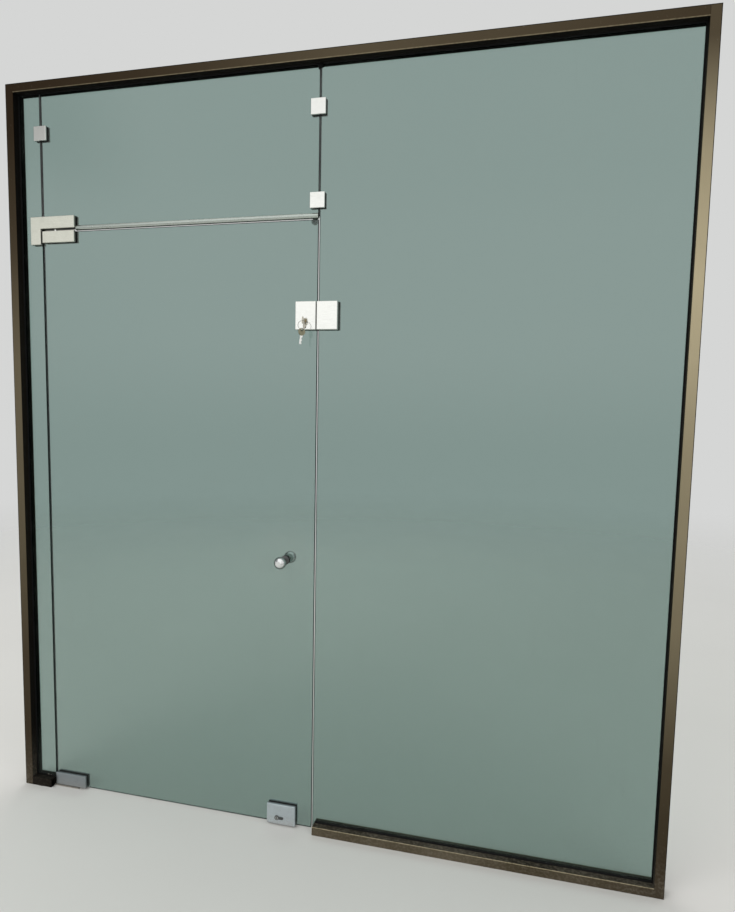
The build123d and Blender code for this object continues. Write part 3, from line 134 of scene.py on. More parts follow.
def arithmetic(operation: str, turned: bool = False) -> Operator:
    """Make a method that adds a Math node.

    Args:
        operation: Operation of the node.
        turned: Whether the other term comes first.

    Returns:
        The method.
    """

    def method(self: "Value", other: "Value | float") -> "Value":
        """Work on two values in a Math node."""
        terms = (other, self) if turned else (self, other)
        return self.tree.node("ShaderNodeMath", dict(enumerate(terms)), operation=operation)

    return method


class Value:
    """A node's output that takes part in Python arithmetic and adds Math nodes for it."""

    def __init__(self, tree: "Tree", socket: bpy.types.NodeSocket) -> None:
        """Wrap one output of a node in a tree."""
        self.tree = tree
        self.socket = socket

    __add__ = __radd__ = arithmetic("ADD")
    __sub__ = arithmetic("SUBTRACT")
    __rsub__ = arithmetic("SUBTRACT", turned=True)
    __mul__ = __rmul__ = arithmetic("MULTIPLY")
    __truediv__ = arithmetic("DIVIDE")
    most = arithmetic("MAXIMUM")
    least = arithmetic("MINIMUM")

    def __abs__(self) -> "Value":
        """Size without its sign."""
        return self.tree.node("ShaderNodeMath", {0: self}, operation="ABSOLUTE")

    def ramp(self, low: float, high: float) -> "Value":
        """Rise softly from 0 to 1 between two values, or fall where low is above high."""
        inputs = {"Value": self, "From Min": low, "From Max": high}
        return self.tree.node("ShaderNodeMapRange", inputs, interpolation_type="SMOOTHSTEP")

    def band(self, line: float, edge: Pair) -> "Value":
        """Ramp over a soft edge that is given as distances from a line."""
        return self.ramp(line + edge[0], line + edge[1])

    def output(self, name: str) -> "Value":
        """Another output of the same node."""
        return Value(self.tree, self.socket.node.outputs[name])


class Tree:
    """A shader or geometry tree with one way to add a node."""

    def __init__(self, tree: bpy.types.NodeTree) -> None:
        """Start on an empty tree."""
        self.tree = tree

    def node(
        self,
        kind: str,
        inputs: dict[str | int, object] | None = None,
        output: str | int = 0,
        **settings: object,
    ) -> Value | None:
        """Add a node.

        Args:
            kind: Type name of the node.
            inputs: Value or link for each input, by name or number.
            output: Which output to give back.
            **settings: Properties, set first; stops fills a colour ramp.

        Returns:
            The output, or None for a node that has none.
        """
        made = self.tree.nodes.new(kind)
        for name, value in settings.items():
            if name == "stops":
                self._fill_ramp(made.color_ramp, value)
            else:
                setattr(made, name, value)
        for key, value in (inputs or {}).items():
            if isinstance(value, Value):
                self.tree.links.new(value.socket, made.inputs[key])
            else:
                made.inputs[key].default_value = self._fitted(made.inputs[key], value)
        return Value(self, made.outputs[output]) if made.outputs else None

    def axes(self, vector: Value) -> tuple[Value, Value, Value]:
        """The three numbers of a vector."""
        x = self.node("ShaderNodeSeparateXYZ", {0: vector})
        return x, x.output("Y"), x.output("Z")

    @staticmethod
    def _fitted(socket: bpy.types.NodeSocket, value: object) -> object:
        """Give a colour its fourth number where the socket wants one."""
        return (*value, 1.0) if socket.type == "RGBA" and len(value) == 3 else value

    @staticmethod
    def _fill_ramp(ramp: bpy.types.ColorRamp, stops: list[tuple[float, Colour]]) -> None:
        """Set the stops of a colour ramp.

        Args:
            ramp: The ramp.
            stops: Place and colour of each stop.
        """
        while len(ramp.elements) < len(stops):
            ramp.elements.new(1.0)
        for element, (place, colour) in zip(ramp.elements, stops):
            element.position = place
            element.color = (*colour, 1.0)


class Shading(Tree):
    """A material's tree, with the patterns that the finishes share."""

    def place(self) -> Value:
        """Position on the piece, in metres."""
        return self.node("ShaderNodeTexCoord", output="Object")

    def mapped(self, vector: Value, scale: Point, turn: float = 0.0) -> Value:
        """Turn a position about Y and scale it along each axis."""
        turned = self.node("ShaderNodeMapping", {"Vector": vector, "Rotation": (0, turn, 0)})
        return self.node("ShaderNodeVectorMath", {0: turned, 1: scale}, operation="MULTIPLY")

    def noise(
        self, vector: Value, scale: float, detail: float = 3.0, roughness: float = 0.5
    ) -> Value:
        """Cloudy noise from 0 to 1."""
        sizes = {"Scale": scale, "Detail": detail, "Roughness": roughness}
        return self.node("ShaderNodeTexNoise", {"Vector": vector, **sizes})

    def mix(self, share: Value | float, low: Value | Colour, high: Value | Colour) -> Value:
        """Mix two colours; share is how much of the second."""
        return self.node("ShaderNodeMix", {0: share, 6: low, 7: high}, 2, data_type="RGBA")

    def bump(self, height: Value, distance: float) -> Value:
        """Relief of a given depth in metres."""
        return self.node("ShaderNodeBump", {"Height": height, "Distance": distance})

    def surface(self, **inputs: object) -> Value:
        """The main surface shader.

        Args:
            **inputs: Values and links by name in lower case, such as base_color.

        Returns:
            The shader.
        """
        titles = {"ior": "IOR", "specular_ior_level": "Specular IOR Level"}
        named = {titles.get(key, key.replace("_", " ").title()): v for key, v in inputs.items()}
        return self.node("ShaderNodeBsdfPrincipled", named)


# Finishes


@dataclass(frozen=True)
class Finish:
    """A named surface; each kind draws its own tree."""

    name: str

    def shade(self, tree: Shading) -> Value:
        """Draw the surface."""
        raise NotImplementedError

    def material(self) -> bpy.types.Material:
        """The material of this finish, made once.

        Returns:
            The material.
        """
        known = bpy.data.materials.get(self.name)
        if known:
            return known
        made = bpy.data.materials.new(self.name)
        made.use_nodes = True
        made.node_tree.nodes.clear()
        tree = Shading(made.node_tree)
        tree.node("ShaderNodeOutputMaterial", {"Surface": self.shade(tree)})
        return made


@dataclass(frozen=True)
class Bronze(Finish):
    """Bronze anodised aluminium with painted light and shade, and dust near the ground.

    The fade gives shares of the pale colour at places along the bar: painted light and shade. The
    outer rim and the reveals are painted black as shade, and a sill is painted black above its
    ledge. A bar may have a pale line along one edge: a painted highlight, partly standing for wear.
    """

    grain: Grain
    fade: tuple[Pair, ...]
    deep: Colour = paint(46, 35, 22)
    pale: Colour = paint(184, 172, 141)
    black: Colour = paint(7, 6, 5)
    dust: Colour = paint(138, 130, 116)
    ledge: float = 0.0
    dusting: float = 0.5
    pale_line: float = 0.0
    wear_and_highlight: float = 1.0
    scuffing: float = 0.22
    blackening: float = 0.95
    dust_height: float = 0.3

    def shade(self, tree: Shading) -> Value:
        """Mix anodising, scuffs and dust with painted light, shade, black reveals and a highlight.

        Args:
            tree: Tree of the material.

        Returns:
            The shader.
        """
        place = tree.place()
        x, y, z = tree.axes(place)
        lines = tree.noise(tree.mapped(place, self.grain.value), scale=1.0, detail=4, roughness=0.6)
        cloud = tree.noise(place, scale=3.2, detail=4)
        fine = tree.noise(place, scale=120.0, detail=4, roughness=0.65)
        # Painted light and shade along the bar: shares of the pale colour from the fade table
        stops = [(at, (level, level, level)) for at, level in self.fade]
        along = z / FRAME_HEIGHT if self.grain is Grain.UPRIGHT else x / FRAME_HALF * 0.5 + 0.5
        lit_share = tree.node("ShaderNodeValToRGB", {0: along}, stops=stops)
        lit_share = lit_share * (0.72 + cloud * 0.4 + lines * 0.16).most(0.0)
        colour = tree.mix(lit_share.least(1.0), self.deep, self.pale)
        scuffs = tree.noise(tree.mapped(place, (240, 240, 90), turn=0.5), scale=1.0)
        colour = tree.mix(scuffs.ramp(0.69, 0.76) * self.scuffing, colour, self.dust)
        # Painted highlight: a pale line along one edge, which on a sill also stands for wear
        if self.pale_line:
            worn_highlight = abs(z - self.pale_line).ramp(*WORN_HIGHLIGHT_LINE) * (0.3 + fine.ramp(0.3, 0.6) * 0.45)
            colour = tree.mix(worn_highlight * self.wear_and_highlight, colour, self.pale)
        # Painted shade: a black rim on the outer front edge and black reveals by the glass
        across = abs(x)
        rim = across.band(FRAME_HALF, RIM_EDGE).most(z.band(FRAME_HEIGHT, RIM_EDGE))
        inner = across.band(FRAME_HALF - FRAME_FACE, REVEAL_EDGE)
        inner = inner * z.band(FRAME_HEIGHT - FRAME_FACE, REVEAL_EDGE)
        if self.ledge:
            inner = inner.least(z.band(self.ledge, LEDGE_EDGE))
        reveal = inner * y.band(FRAME_FRONT, REVEAL_FRONT) * y.ramp(*REVEAL_BACK)
        dark = (rim * y.band(FRAME_FRONT, RIM_DEPTH)).most(reveal) * self.blackening
        colour = tree.mix(dark, colour, self.black)
        low = z.ramp(self.dust_height, 0.0)
        specks = fine.ramp(0.42, 0.7) * 0.6 + cloud.ramp(0.35, 0.7) * 0.35
        dusty = low * low * specks * self.dusting
        return tree.surface(
            base_color=tree.mix(dusty, colour, self.dust),
            metallic=(0.72 - dusty * 0.7 - dark * 0.7).most(0.0),
            roughness=0.36 + lines * 0.14 + dusty * 0.35 + dark * 0.4,
            specular_ior_level=0.1,
            normal=tree.bump(lines + fine * 0.4, 0.00003),
        )


@dataclass(frozen=True)
class Metal(Finish):
    """Satin or polished metal with fine lines, smears and grime.

    Its sides darken from the face, which stands proud of the middle of the glass, to the seat,
    where they are black: painted shade by the glass. The outline darkens what is seen at a slant:
    a painted dark reflection.
    """

    colour: Colour
    roughness: float
    grain: Grain
    lines: float = 0.06
    soiling: float = 0.25
    dust_height: float = 0.0
    # Painted shade on the sides by the glass and a painted dark outline at a slant
    proud: float = 0.0
    seat: float = 0.0075
    outline: float = 0.0
    grime: Colour = paint(70, 64, 54)
    dust: Colour = paint(165, 158, 146)
    black: Colour = paint(14, 14, 14)

    def shade(self, tree: Shading) -> Value:
        """Mix clean metal with smears, dust and grime in patches, and painted shade by the glass.

        Args:
            tree: Tree of the material.

        Returns:
            The shader.
        """
        place = tree.place()
        y, z = tree.axes(place)[1:]
        lines = tree.noise(tree.mapped(place, self.grain.value), scale=1.0)
        slanting = tree.mapped(place, (90, 90, 2400), turn=0.6)
        scratches = tree.noise(slanting, scale=1.0, detail=2).ramp(0.64, 0.72)
        cloud = tree.noise(place, scale=28.0, detail=4)
        speck = tree.noise(place, scale=420.0)
        soiled = (cloud * 0.65 + speck * 0.35).ramp(0.5, 0.68) * self.soiling
        layers = [(soiled, self.grime, 0.45, 0.6)]
        if self.dust_height:
            low = z.ramp(self.dust_height, 0.0)
            dusty = (low * speck.ramp(0.36, 0.64) * 0.5).most(low * cloud.ramp(0.4, 0.7) * 0.35)
            layers.append((dusty, self.dust, 0.4, 0.6))
        # Painted shade: the sides turn black from the face towards the glass
        if self.proud:
            crevice = abs(y).ramp(self.proud - SHADE_FREE_EDGE, self.seat) * 0.9
            layers.append((crevice, self.black, 0.3, 0.8))
        darker = tuple(part * 0.72 for part in self.colour)
        colour = tree.mix(lines.ramp(0.3, 0.75) * 0.4, self.colour, darker)
        rough = self.roughness + (lines - 0.5) * self.lines + scratches * 0.06
        metallic = 1
        for share, tone, rougher, duller in layers:
            colour = tree.mix(share, colour, tone)
            rough = rough + share * rougher
            metallic = metallic - share * duller
        # Painted dark reflection where the surface is seen at a slant
        if self.outline:
            slant = tree.node("ShaderNodeLayerWeight", {"Blend": 0.5}, "Facing")
            colour = tree.mix(slant.ramp(0.2, 0.75) * self.outline, colour, self.black)
        return tree.surface(
            base_color=colour,
            metallic=metallic.most(0.0),
            roughness=rough,
            normal=tree.bump(lines + scratches * 0.5, 0.00001),
        )


@dataclass(frozen=True)
class WornNickel(Finish):
    """Nickel plate worn through to the brass, and a painted highlight on a hanging key's blade."""

    nickel: Colour = paint(214, 211, 198)
    brass: Colour = paint(196, 174, 124)
    roughness: float = 0.24
    dirt: float = 0.4
    shine: float = 1.0
    neck: float = 0.0
    # Near-white of the blade below the neck: a painted highlight
    blade: Colour = paint(246, 246, 242)
    grime: Colour = paint(58, 52, 42)

    def shade(self, tree: Shading) -> Value:
        """Mix nickel and brass in patches, dirt in low spots, and a painted highlight on the blade.

        Args:
            tree: Tree of the material.

        Returns:
            The shader.
        """
        place = tree.place()
        rub = tree.noise(place, scale=130.0, detail=4, roughness=0.6)
        fine = tree.noise(place, scale=900.0)
        colour = tree.mix(rub.ramp(0.5, 0.68) * 0.6, self.nickel, self.brass)
        colour = tree.mix(fine.ramp(0.58, 0.74) * self.dirt, colour, self.grime)
        rough = self.roughness + rub * 0.14 + fine * 0.12
        metallic = self.shine
        # Painted highlight: below the neck the blade turns near-white and less metallic
        if self.neck:
            blade_highlight = tree.axes(place)[2].band(self.neck, NECK_EDGE)
            colour = tree.mix(blade_highlight, colour, self.blade)
            metallic = 1 - blade_highlight * 0.6
        return tree.surface(
            base_color=colour, metallic=metallic, roughness=rough, normal=tree.bump(fine, 0.00002)
        )


@dataclass(frozen=True)
class Moulded(Finish):
    """Rubber or plastic with a matt skin and some dust."""

    colour: Colour
    roughness: float = 0.6
    dust: Colour = paint(120, 116, 108)
    dusting: float = 0.25
    gloss: float = 0.5

    def shade(self, tree: Shading) -> Value:
        """Mix the moulded skin with cloudy dust.

        Args:
            tree: Tree of the material.

        Returns:
            The shader.
        """
        place = tree.place()
        cloud = tree.noise(place, scale=14.0, detail=4)
        fine = tree.noise(place, scale=650.0)
        dusty = (cloud * 0.5 + fine * 0.5).ramp(0.46, 0.66) * self.dusting
        colour = tree.mix(dusty, self.colour, self.dust)
        rough = self.roughness + (fine - 0.5) * 0.2 + dusty * 0.3
        return tree.surface(
            base_color=colour,
            roughness=rough,
            specular_ior_level=self.gloss,
            normal=tree.bump(fine, 0.00004),
        )


@dataclass(frozen=True)
class Sealant(Finish):
    """Clear silicone that has gone grey and holds a little dirt."""

    clear: Colour = paint(48, 54, 52)
    dirty: Colour = paint(18, 19, 18)
    dust: Colour = paint(96, 94, 88)

    def shade(self, tree: Shading) -> Value:
        """Mix clear and dirty lengths of the bead.

        Args:
            tree: Tree of the material.

        Returns:
            The shader.
        """
        place = tree.place()
        along = tree.noise(tree.mapped(place, (60, 60, 14)), scale=1.0, detail=4)
        fine = tree.noise(place, scale=500.0)
        colour = tree.mix(along.ramp(0.35, 0.65), self.clear, self.dirty)
        colour = tree.mix(fine.ramp(0.62, 0.76) * 0.3, colour, self.dust)
        return tree.surface(
            base_color=colour, roughness=0.22 + fine * 0.25, normal=tree.bump(along + fine, 0.0001)
        )


@dataclass(frozen=True)
class TintedGlass(Finish):
    """Toughened clear glass, tinted by its thickness, with dark green rims and a film of dust.

    Both the tint and the rims are darker than the glass itself: painted shade.
    """

    # The body colour is the glass's green tint, darkened past it as painted shade
    body: Colour = (0.31, 0.42, 0.39)
    shadow: Colour = (0.78, 0.86, 0.84)
    # The rim colour is the edge colour of green glass, made near-black as painted shade
    rim: Colour = (0.003, 0.014, 0.011)
    film: Colour = paint(168, 172, 166)
    touched: Point | None = None

    def shade(self, tree: Shading) -> Value:
        """Mix clear glass, ground rims darkened as painted shade, dust and, for lamps, a plain
        tint.

        Args:
            tree: Tree of the material.

        Returns:
            The shader.
        """
        place = tree.place()
        y, z = tree.axes(place)[1:]
        face = abs(y).band(GLASS_FACE, GROUND_RIM)
        cloud = tree.noise(place, scale=3.5, detail=5, roughness=0.6)
        fine = tree.noise(place, scale=240.0, detail=4, roughness=0.7)
        streaks = tree.noise(tree.mapped(place, (55, 1, 2.2), turn=0.06), scale=1.0)
        low = z.ramp(0.38, 0.0)
        dusty = low * low * fine.ramp(0.4, 0.7) * 0.1 + cloud.ramp(0.45, 0.8) * fine * 0.04
        dusty = dusty + streaks.ramp(0.55, 0.78) * cloud.ramp(0.4, 0.7) * 0.035
        if self.touched:
            ends = {0: place, 1: self.touched}
            near = tree.node("ShaderNodeVectorMath", ends, "Value", operation="DISTANCE")
            marks = near.ramp(0.16, 0.03) * cloud.ramp(0.35, 0.6) * fine.ramp(0.3, 0.6)
            dusty = dusty + marks * 0.12
        glass = tree.surface(base_color=self.body, roughness=0.0, ior=1.5, transmission_weight=1.0)
        # Near-black rims: partly the glass's edge colour, partly painted shade
        ground = tree.surface(base_color=self.rim, roughness=0.45, specular_ior_level=0.25)
        dust = tree.node("ShaderNodeBsdfDiffuse", {"Color": self.film})
        skin = tree.node("ShaderNodeMixShader", {0: dusty, 1: glass, 2: dust})
        skin = tree.node("ShaderNodeMixShader", {0: face, 1: ground, 2: skin})
        lamp = tree.node("ShaderNodeLightPath", output="Is Shadow Ray")
        clear = tree.node("ShaderNodeBsdfTransparent", {"Color": self.shadow})
        return tree.node("ShaderNodeMixShader", {0: lamp, 1: skin, 2: clear})


@dataclass(frozen=True)
class Mortar(Finish):
    """Crumbs of mortar and grit in mixed greys and browns."""

    def shade(self, tree: Shading) -> Value:
        """Mix grey, brown and pale crumbs by their place.

        Args:
            tree: Tree of the material.

        Returns:
            The shader.
        """
        place = tree.place()
        kinds = tree.noise(place, scale=260.0, detail=2)
        stops = [(0.38, paint(38, 33, 27)), (0.5, paint(96, 86, 72)), (0.62, paint(170, 164, 152))]
        colour = tree.node("ShaderNodeValToRGB", {0: kinds}, stops=stops)
        fine = tree.noise(place, scale=1500.0)
        return tree.surface(
            base_color=colour, roughness=0.8 + fine * 0.15, normal=tree.bump(fine, 0.0002)
        )


@dataclass(frozen=True)
class StudioFloor(Finish):
    """Plain pale floor that fades out towards its edge."""

    colour: Colour = paint(222, 221, 217)
    near: float = 1.6
    far: float = 9.5

    def shade(self, tree: Shading) -> Value:
        """Fade a pale matt floor into the background.

        Args:
            tree: Tree of the material.

        Returns:
            The shader.
        """
        place = tree.place()
        cloud = tree.noise(place, scale=1.2, detail=4)
        darker = tuple(part * 0.94 for part in self.colour)
        surface = tree.surface(
            base_color=tree.mix(cloud, self.colour, darker), roughness=0.75 + cloud * 0.1
        )
        clear = tree.node("ShaderNodeBsdfTransparent")
        away = tree.node("ShaderNodeVectorMath", {0: place}, "Value", operation="LENGTH")
        fade = away.ramp(self.near, self.far)
        return tree.node("ShaderNodeMixShader", {0: fade, 1: surface, 2: clear})


GASKET = Moulded("gasket_rubber", paint(9, 9, 9), 0.6, paint(60, 58, 54), 0.12, gloss=0.12)
PAD = Moulded("clamp_pad", paint(13, 13, 13), 0.5, paint(60, 58, 54), 0.1, gloss=0.2)
BUSH = Moulded("bush_plastic_pale", paint(205, 200, 186), 0.45, dusting=0.15)
BUFFER = Moulded("buffer_nylon", paint(150, 149, 145), 0.35)
BLOCK = Moulded("setting_block_plastic", paint(40, 40, 40), 0.5)
SILICONE = Sealant("silicone_joint")
FIXED_GLASS = TintedGlass("glass_fixed")
LEAF_GLASS = TintedGlass("glass_leaf", touched=(-0.1025, 0.0, 0.964))
# Painted light and shade along each bar, as places and shares of the pale colour
SUNNY = (
    (0.0, 0.02), (0.16, 0.1), (0.3, 0.34), (0.52, 0.62), (0.72, 1.0), (0.85, 0.62), (0.97, 0.1),
)
SHADY = ((0.0, 0.02), (0.2, 0.08), (0.46, 0.26), (0.62, 0.26), (0.78, 0.07), (0.95, 0.0))
ABOVE = ((0.0, 0.0), (0.25, 0.03), (0.55, 0.12), (0.8, 0.08), (1.0, 0.04))
BELOW = ((0.5, 0.14), (0.7, 0.15), (0.92, 0.1), (1.0, 0.02))
DEEP = ((0.0, 0.0), (1.0, 0.0))
# Lit and shaded copies of one bronze: most painted light on the right jamb, less on the left
SUNNY_BAR = Bronze("bronze_upright", Grain.UPRIGHT, SUNNY)
SHADY_BAR = Bronze("bronze_upright_dark", Grain.UPRIGHT, SHADY)
HEAD_BAR = Bronze("bronze_level", Grain.LEVEL, ABOVE, pale_line=2.5815, wear_and_highlight=0.45)
SILL_BAR = Bronze("bronze_sill", Grain.LEVEL, BELOW, ledge=0.0288, pale_line=0.0292)
STUB_BAR = Bronze("bronze_stub", Grain.LEVEL, DEEP, paint(24, 19, 15), dusting=0.12)
POLISH = paint(230, 231, 226)
# Fittings that stand proud of the glass get painted shade on their sides towards it
MIRROR = Metal("clamp_polish", POLISH, 0.14, Grain.FINE_LEVEL, 0.05, 0.04, proud=0.015)
LOCK_MIRROR = Metal("lock_polish", POLISH, 0.14, Grain.FINE_LEVEL, 0.05, 0.04, proud=0.0235)
SATIN = Metal("patch_satin", paint(219, 220, 207), 0.28, Grain.FINE_LEVEL, 0.1, 0.1, proud=0.017)
LOW_SATIN = Metal(
    "patch_satin_low", paint(160, 167, 172), 0.3, Grain.FINE_LEVEL, 0.1, 0.2,
    dust_height=0.05, proud=0.017,
)
LOCK_SATIN = Metal(
    "lock_satin_low", paint(211, 220, 226), 0.3, Grain.FINE_LEVEL, 0.1, 0.15,
    dust_height=0.05, proud=0.018,
)
TUBE = Metal("rail_satin", paint(186, 194, 187), 0.26, Grain.LEVEL, 0.08, 0.12)
PIN = Metal("pin_bright", POLISH, 0.12, Grain.EVEN, 0.04, 0.02)
STEEL = Metal("turned_steel", paint(160, 157, 150), 0.3, Grain.EVEN, 0.1, 0.35, dust_height=0.03)
SCREW = Metal("screw_zinc", paint(186, 184, 178), 0.26, Grain.EVEN, 0.08, 0.2)
BOLT = Metal("bolt_bright", paint(172, 170, 165), 0.22, Grain.FINE_LEVEL, 0.08, 0.3)
CYLINDER = Metal("cylinder_satin", paint(176, 173, 162), 0.24, Grain.EVEN, 0.08, 0.2)
LOW_CYLINDER = Metal("cylinder_tarnished", paint(98, 100, 100), 0.4, Grain.EVEN, 0.1, 0.4)
# Chrome knobs: painted shade at the neck by the glass and a painted dark outline
CHROME = Metal(
    "knob_polish", paint(232, 234, 234), 0.045, Grain.EVEN, 0.02, 0.04,
    proud=0.032, seat=0.012, outline=0.85,
)
RING_WIRE = Metal("ring_wire", paint(120, 118, 110), 0.2, Grain.EVEN, 0.08, 0.3)
NICKEL = WornNickel("key_worn", paint(240, 236, 226), paint(214, 196, 158), 0.3, 0.25, 0.4)
# The spare key's blade below its neck carries a painted highlight
DIRTY_NICKEL = WornNickel(
    "spare_key_worn", paint(150, 147, 124), paint(104, 98, 72), 0.26, 0.6, neck=1.7235
)
PLUG = WornNickel("plug_worn", paint(150, 142, 118), paint(160, 132, 78), 0.3)
LOW_PLUG = WornNickel("plug_tarnished", paint(178, 180, 180), paint(146, 144, 134), 0.34, 0.4)
CRUMBS = Mortar("mortar_crumbs")


# Building helpers


def dress(finish: Finish, *nodes: str) -> None:
    """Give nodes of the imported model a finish.

    Args:
        finish: The finish.
        *nodes: Names of the nodes.
    """
    for name in nodes:
        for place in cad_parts[name].material_slots:
            place.material = finish.material()
        LOG.info("dressed %s in %s", name, finish.name)


def settle(piece: Object, body: str, slot: str, *nodes: str) -> None:
    """Hang a finished piece on its body and let it stand for nodes.

    Args:
        piece: The finished piece.
        body: Body that carries it.
        slot: Material slot of the record; not used.
        *nodes: Nodes that the piece stands for.
    """
    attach(piece, body)
    if nodes:
        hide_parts(*nodes)
    LOG.info("made %s, %d faces, on %s", piece.name, len(piece.data.polygons), body)


def piece_from(name: str, mesh: Mesh) -> Object:
    """Put a mesh in the scene as an object at the origin.

    Args:
        name: Name of the object.
        mesh: Its mesh.

    Returns:
        The object.
    """
    piece = bpy.data.objects.new(name, mesh)
    bpy.context.scene.collection.objects.link(piece)
    return piece


def tidy_mesh(mesh: Mesh, merge: float = 0.000005) -> None:
    """Merge doubled points and turn all faces outwards.

    Args:
        mesh: The mesh to change.
        merge: Distance under which points are one, in metres.
    """
    shape = bmesh.new()
    shape.from_mesh(mesh)
    bmesh.ops.remove_doubles(shape, verts=shape.verts, dist=merge)
    bmesh.ops.recalc_face_normals(shape, faces=shape.faces)
    shape.to_mesh(mesh)
    shape.free()


def line_mesh(name: str, corners: list[Point], step: float) -> Mesh:
    """A mesh of short edges along straight lines, as the path that a tree follows.

    Args:
        name: Name of the mesh.
        corners: Corners of the path.
        step: Longest edge wanted, in metres.

    Returns:
        The mesh.
    """
    points = [corners[0]]
    for start, end in zip(corners, corners[1:]):
        begin, finish = Vector(start), Vector(end)
        count = max(1, math.ceil((finish - begin).length / step))
        points += [tuple(begin.lerp(finish, i / count)) for i in range(1, count + 1)]
    mesh = bpy.data.meshes.new(name)
    mesh.from_pydata(points, [(i, i + 1) for i in range(len(points) - 1)], [])
    return mesh


def around(count: int) -> list[Pair]:
    """Sine and cosine at even steps of a full turn."""
    angles = [math.tau * i / count for i in range(count)]
    return [(math.sin(angle), math.cos(angle)) for angle in angles]


def add_loops(shape: BMesh, loops: list[list[Point]], closed: bool = True) -> None:
    """Add loops of points with faces from each loop to the next.

    Args:
        shape: Mesh that takes them.
        loops: The loops, all with as many points.
        closed: Whether the last loop joins the first; otherwise both get a flat end.
    """
    rings = [[shape.verts.new(point) for point in loop] for loop in loops]
    for one, two in zip(rings, rings[1:] + rings[:1] if closed else rings[1:]):
        for i, vert in enumerate(one):
            j = (i + 1) % len(one)
            shape.faces.new((vert, one[j], two[j], two[i]))
    if not closed:
        shape.faces.new(rings[0])
        shape.faces.new(rings[-1][::-1])


class Recipe(Tree):
    """A geometry tree with named sizes that grows one kind of piece along or over a base."""

    def __init__(self, name: str, sizes: dict[str, float]) -> None:
        """Make the group with its geometry and size sockets.

        Args:
            name: Name of the tree.
            sizes: Default of each named size.
        """
        group = bpy.data.node_groups.new(name, "GeometryNodeTree")
        face = group.interface
        for way in ("INPUT", "OUTPUT"):
            face.new_socket("Geometry", in_out=way, socket_type="NodeSocketGeometry")
        self.sockets = {}
        for label, value in sizes.items():
            made = face.new_socket(label, in_out="INPUT", socket_type="NodeSocketFloat")
            made.default_value = value
            self.sockets[label] = made.identifier
        super().__init__(group)
        self.given = group.nodes.new("NodeGroupInput")

    def size(self, label: str) -> Value:
        """A named size, or the base geometry under the name Geometry."""
        return Value(self, self.given.outputs[label])

    def swept(self, path: Value, profile: Value) -> Value:
        """Run a profile, kept upright, along a path that lies in a plane square to Y.

        Args:
            path: The path.
            profile: The profile.

        Returns:
            The closed mesh.
        """
        inputs = {"Curve": path, "Normal": (0, 1, 0)}
        path = self.node("GeometryNodeSetCurveNormal", inputs, mode="FREE")
        inputs = {"Curve": path, "Profile Curve": profile, "Fill Caps": True}
        return self.node("GeometryNodeCurveToMesh", inputs)

    def shifted(self, geometry: Value, offset: Value) -> Value:
        """Move every point by its own offset."""
        return self.node("GeometryNodeSetPosition", {"Geometry": geometry, "Offset": offset})

    def vector(self, x: Value | float, y: Value | float, z: Value | float) -> Value:
        """A vector from three numbers."""
        return self.node("ShaderNodeCombineXYZ", {0: x, 1: y, 2: z})

    def wander(self, scale: float, seed: float = 0.0) -> Value:
        """Noise about zero at each point, from -0.5 to 0.5.

        Args:
            scale: How fine the noise is.
            seed: Which pattern it takes.

        Returns:
            The noise.
        """
        place = self.node("GeometryNodeInputPosition")
        inputs = {"Vector": place, "W": seed, "Scale": scale, "Detail": 3.0}
        return self.node("ShaderNodeTexNoise", inputs, noise_dimensions="4D") - 0.5

    def close(self, geometry: Value, finish: Finish) -> None:
        """End the tree with plain geometry in a finish.

        Args:
            geometry: What the tree has made.
            finish: Its finish.
        """
        real = self.node("GeometryNodeRealizeInstances", {0: geometry})
        inputs = {"Geometry": real, "Material": finish.material()}
        self.node("NodeGroupOutput", {0: self.node("GeometryNodeSetMaterial", inputs)})

    def grow(self, name: str, base: Mesh, **sizes: float) -> Object:
        """Grow a plain piece over a base mesh.

        Args:
            name: Name of the piece.
            base: Mesh that the tree starts from.
            **sizes: Sizes that differ from the defaults.

        Returns:
            The piece, with no modifier left on it.
        """
        piece = piece_from(name, base)
        growth = piece.modifiers.new(self.tree.name, "NODES")
        growth.node_group = self.tree
        for label, value in sizes.items():
            growth[self.sockets[label]] = value
        graph = bpy.context.evaluated_depsgraph_get()
        mesh = bpy.data.meshes.new_from_object(piece.evaluated_get(graph), depsgraph=graph)
        piece.modifiers.remove(growth)
        piece.data = mesh
        mesh.name = name
        tidy_mesh(mesh)
        return piece


# Sub-assemblies


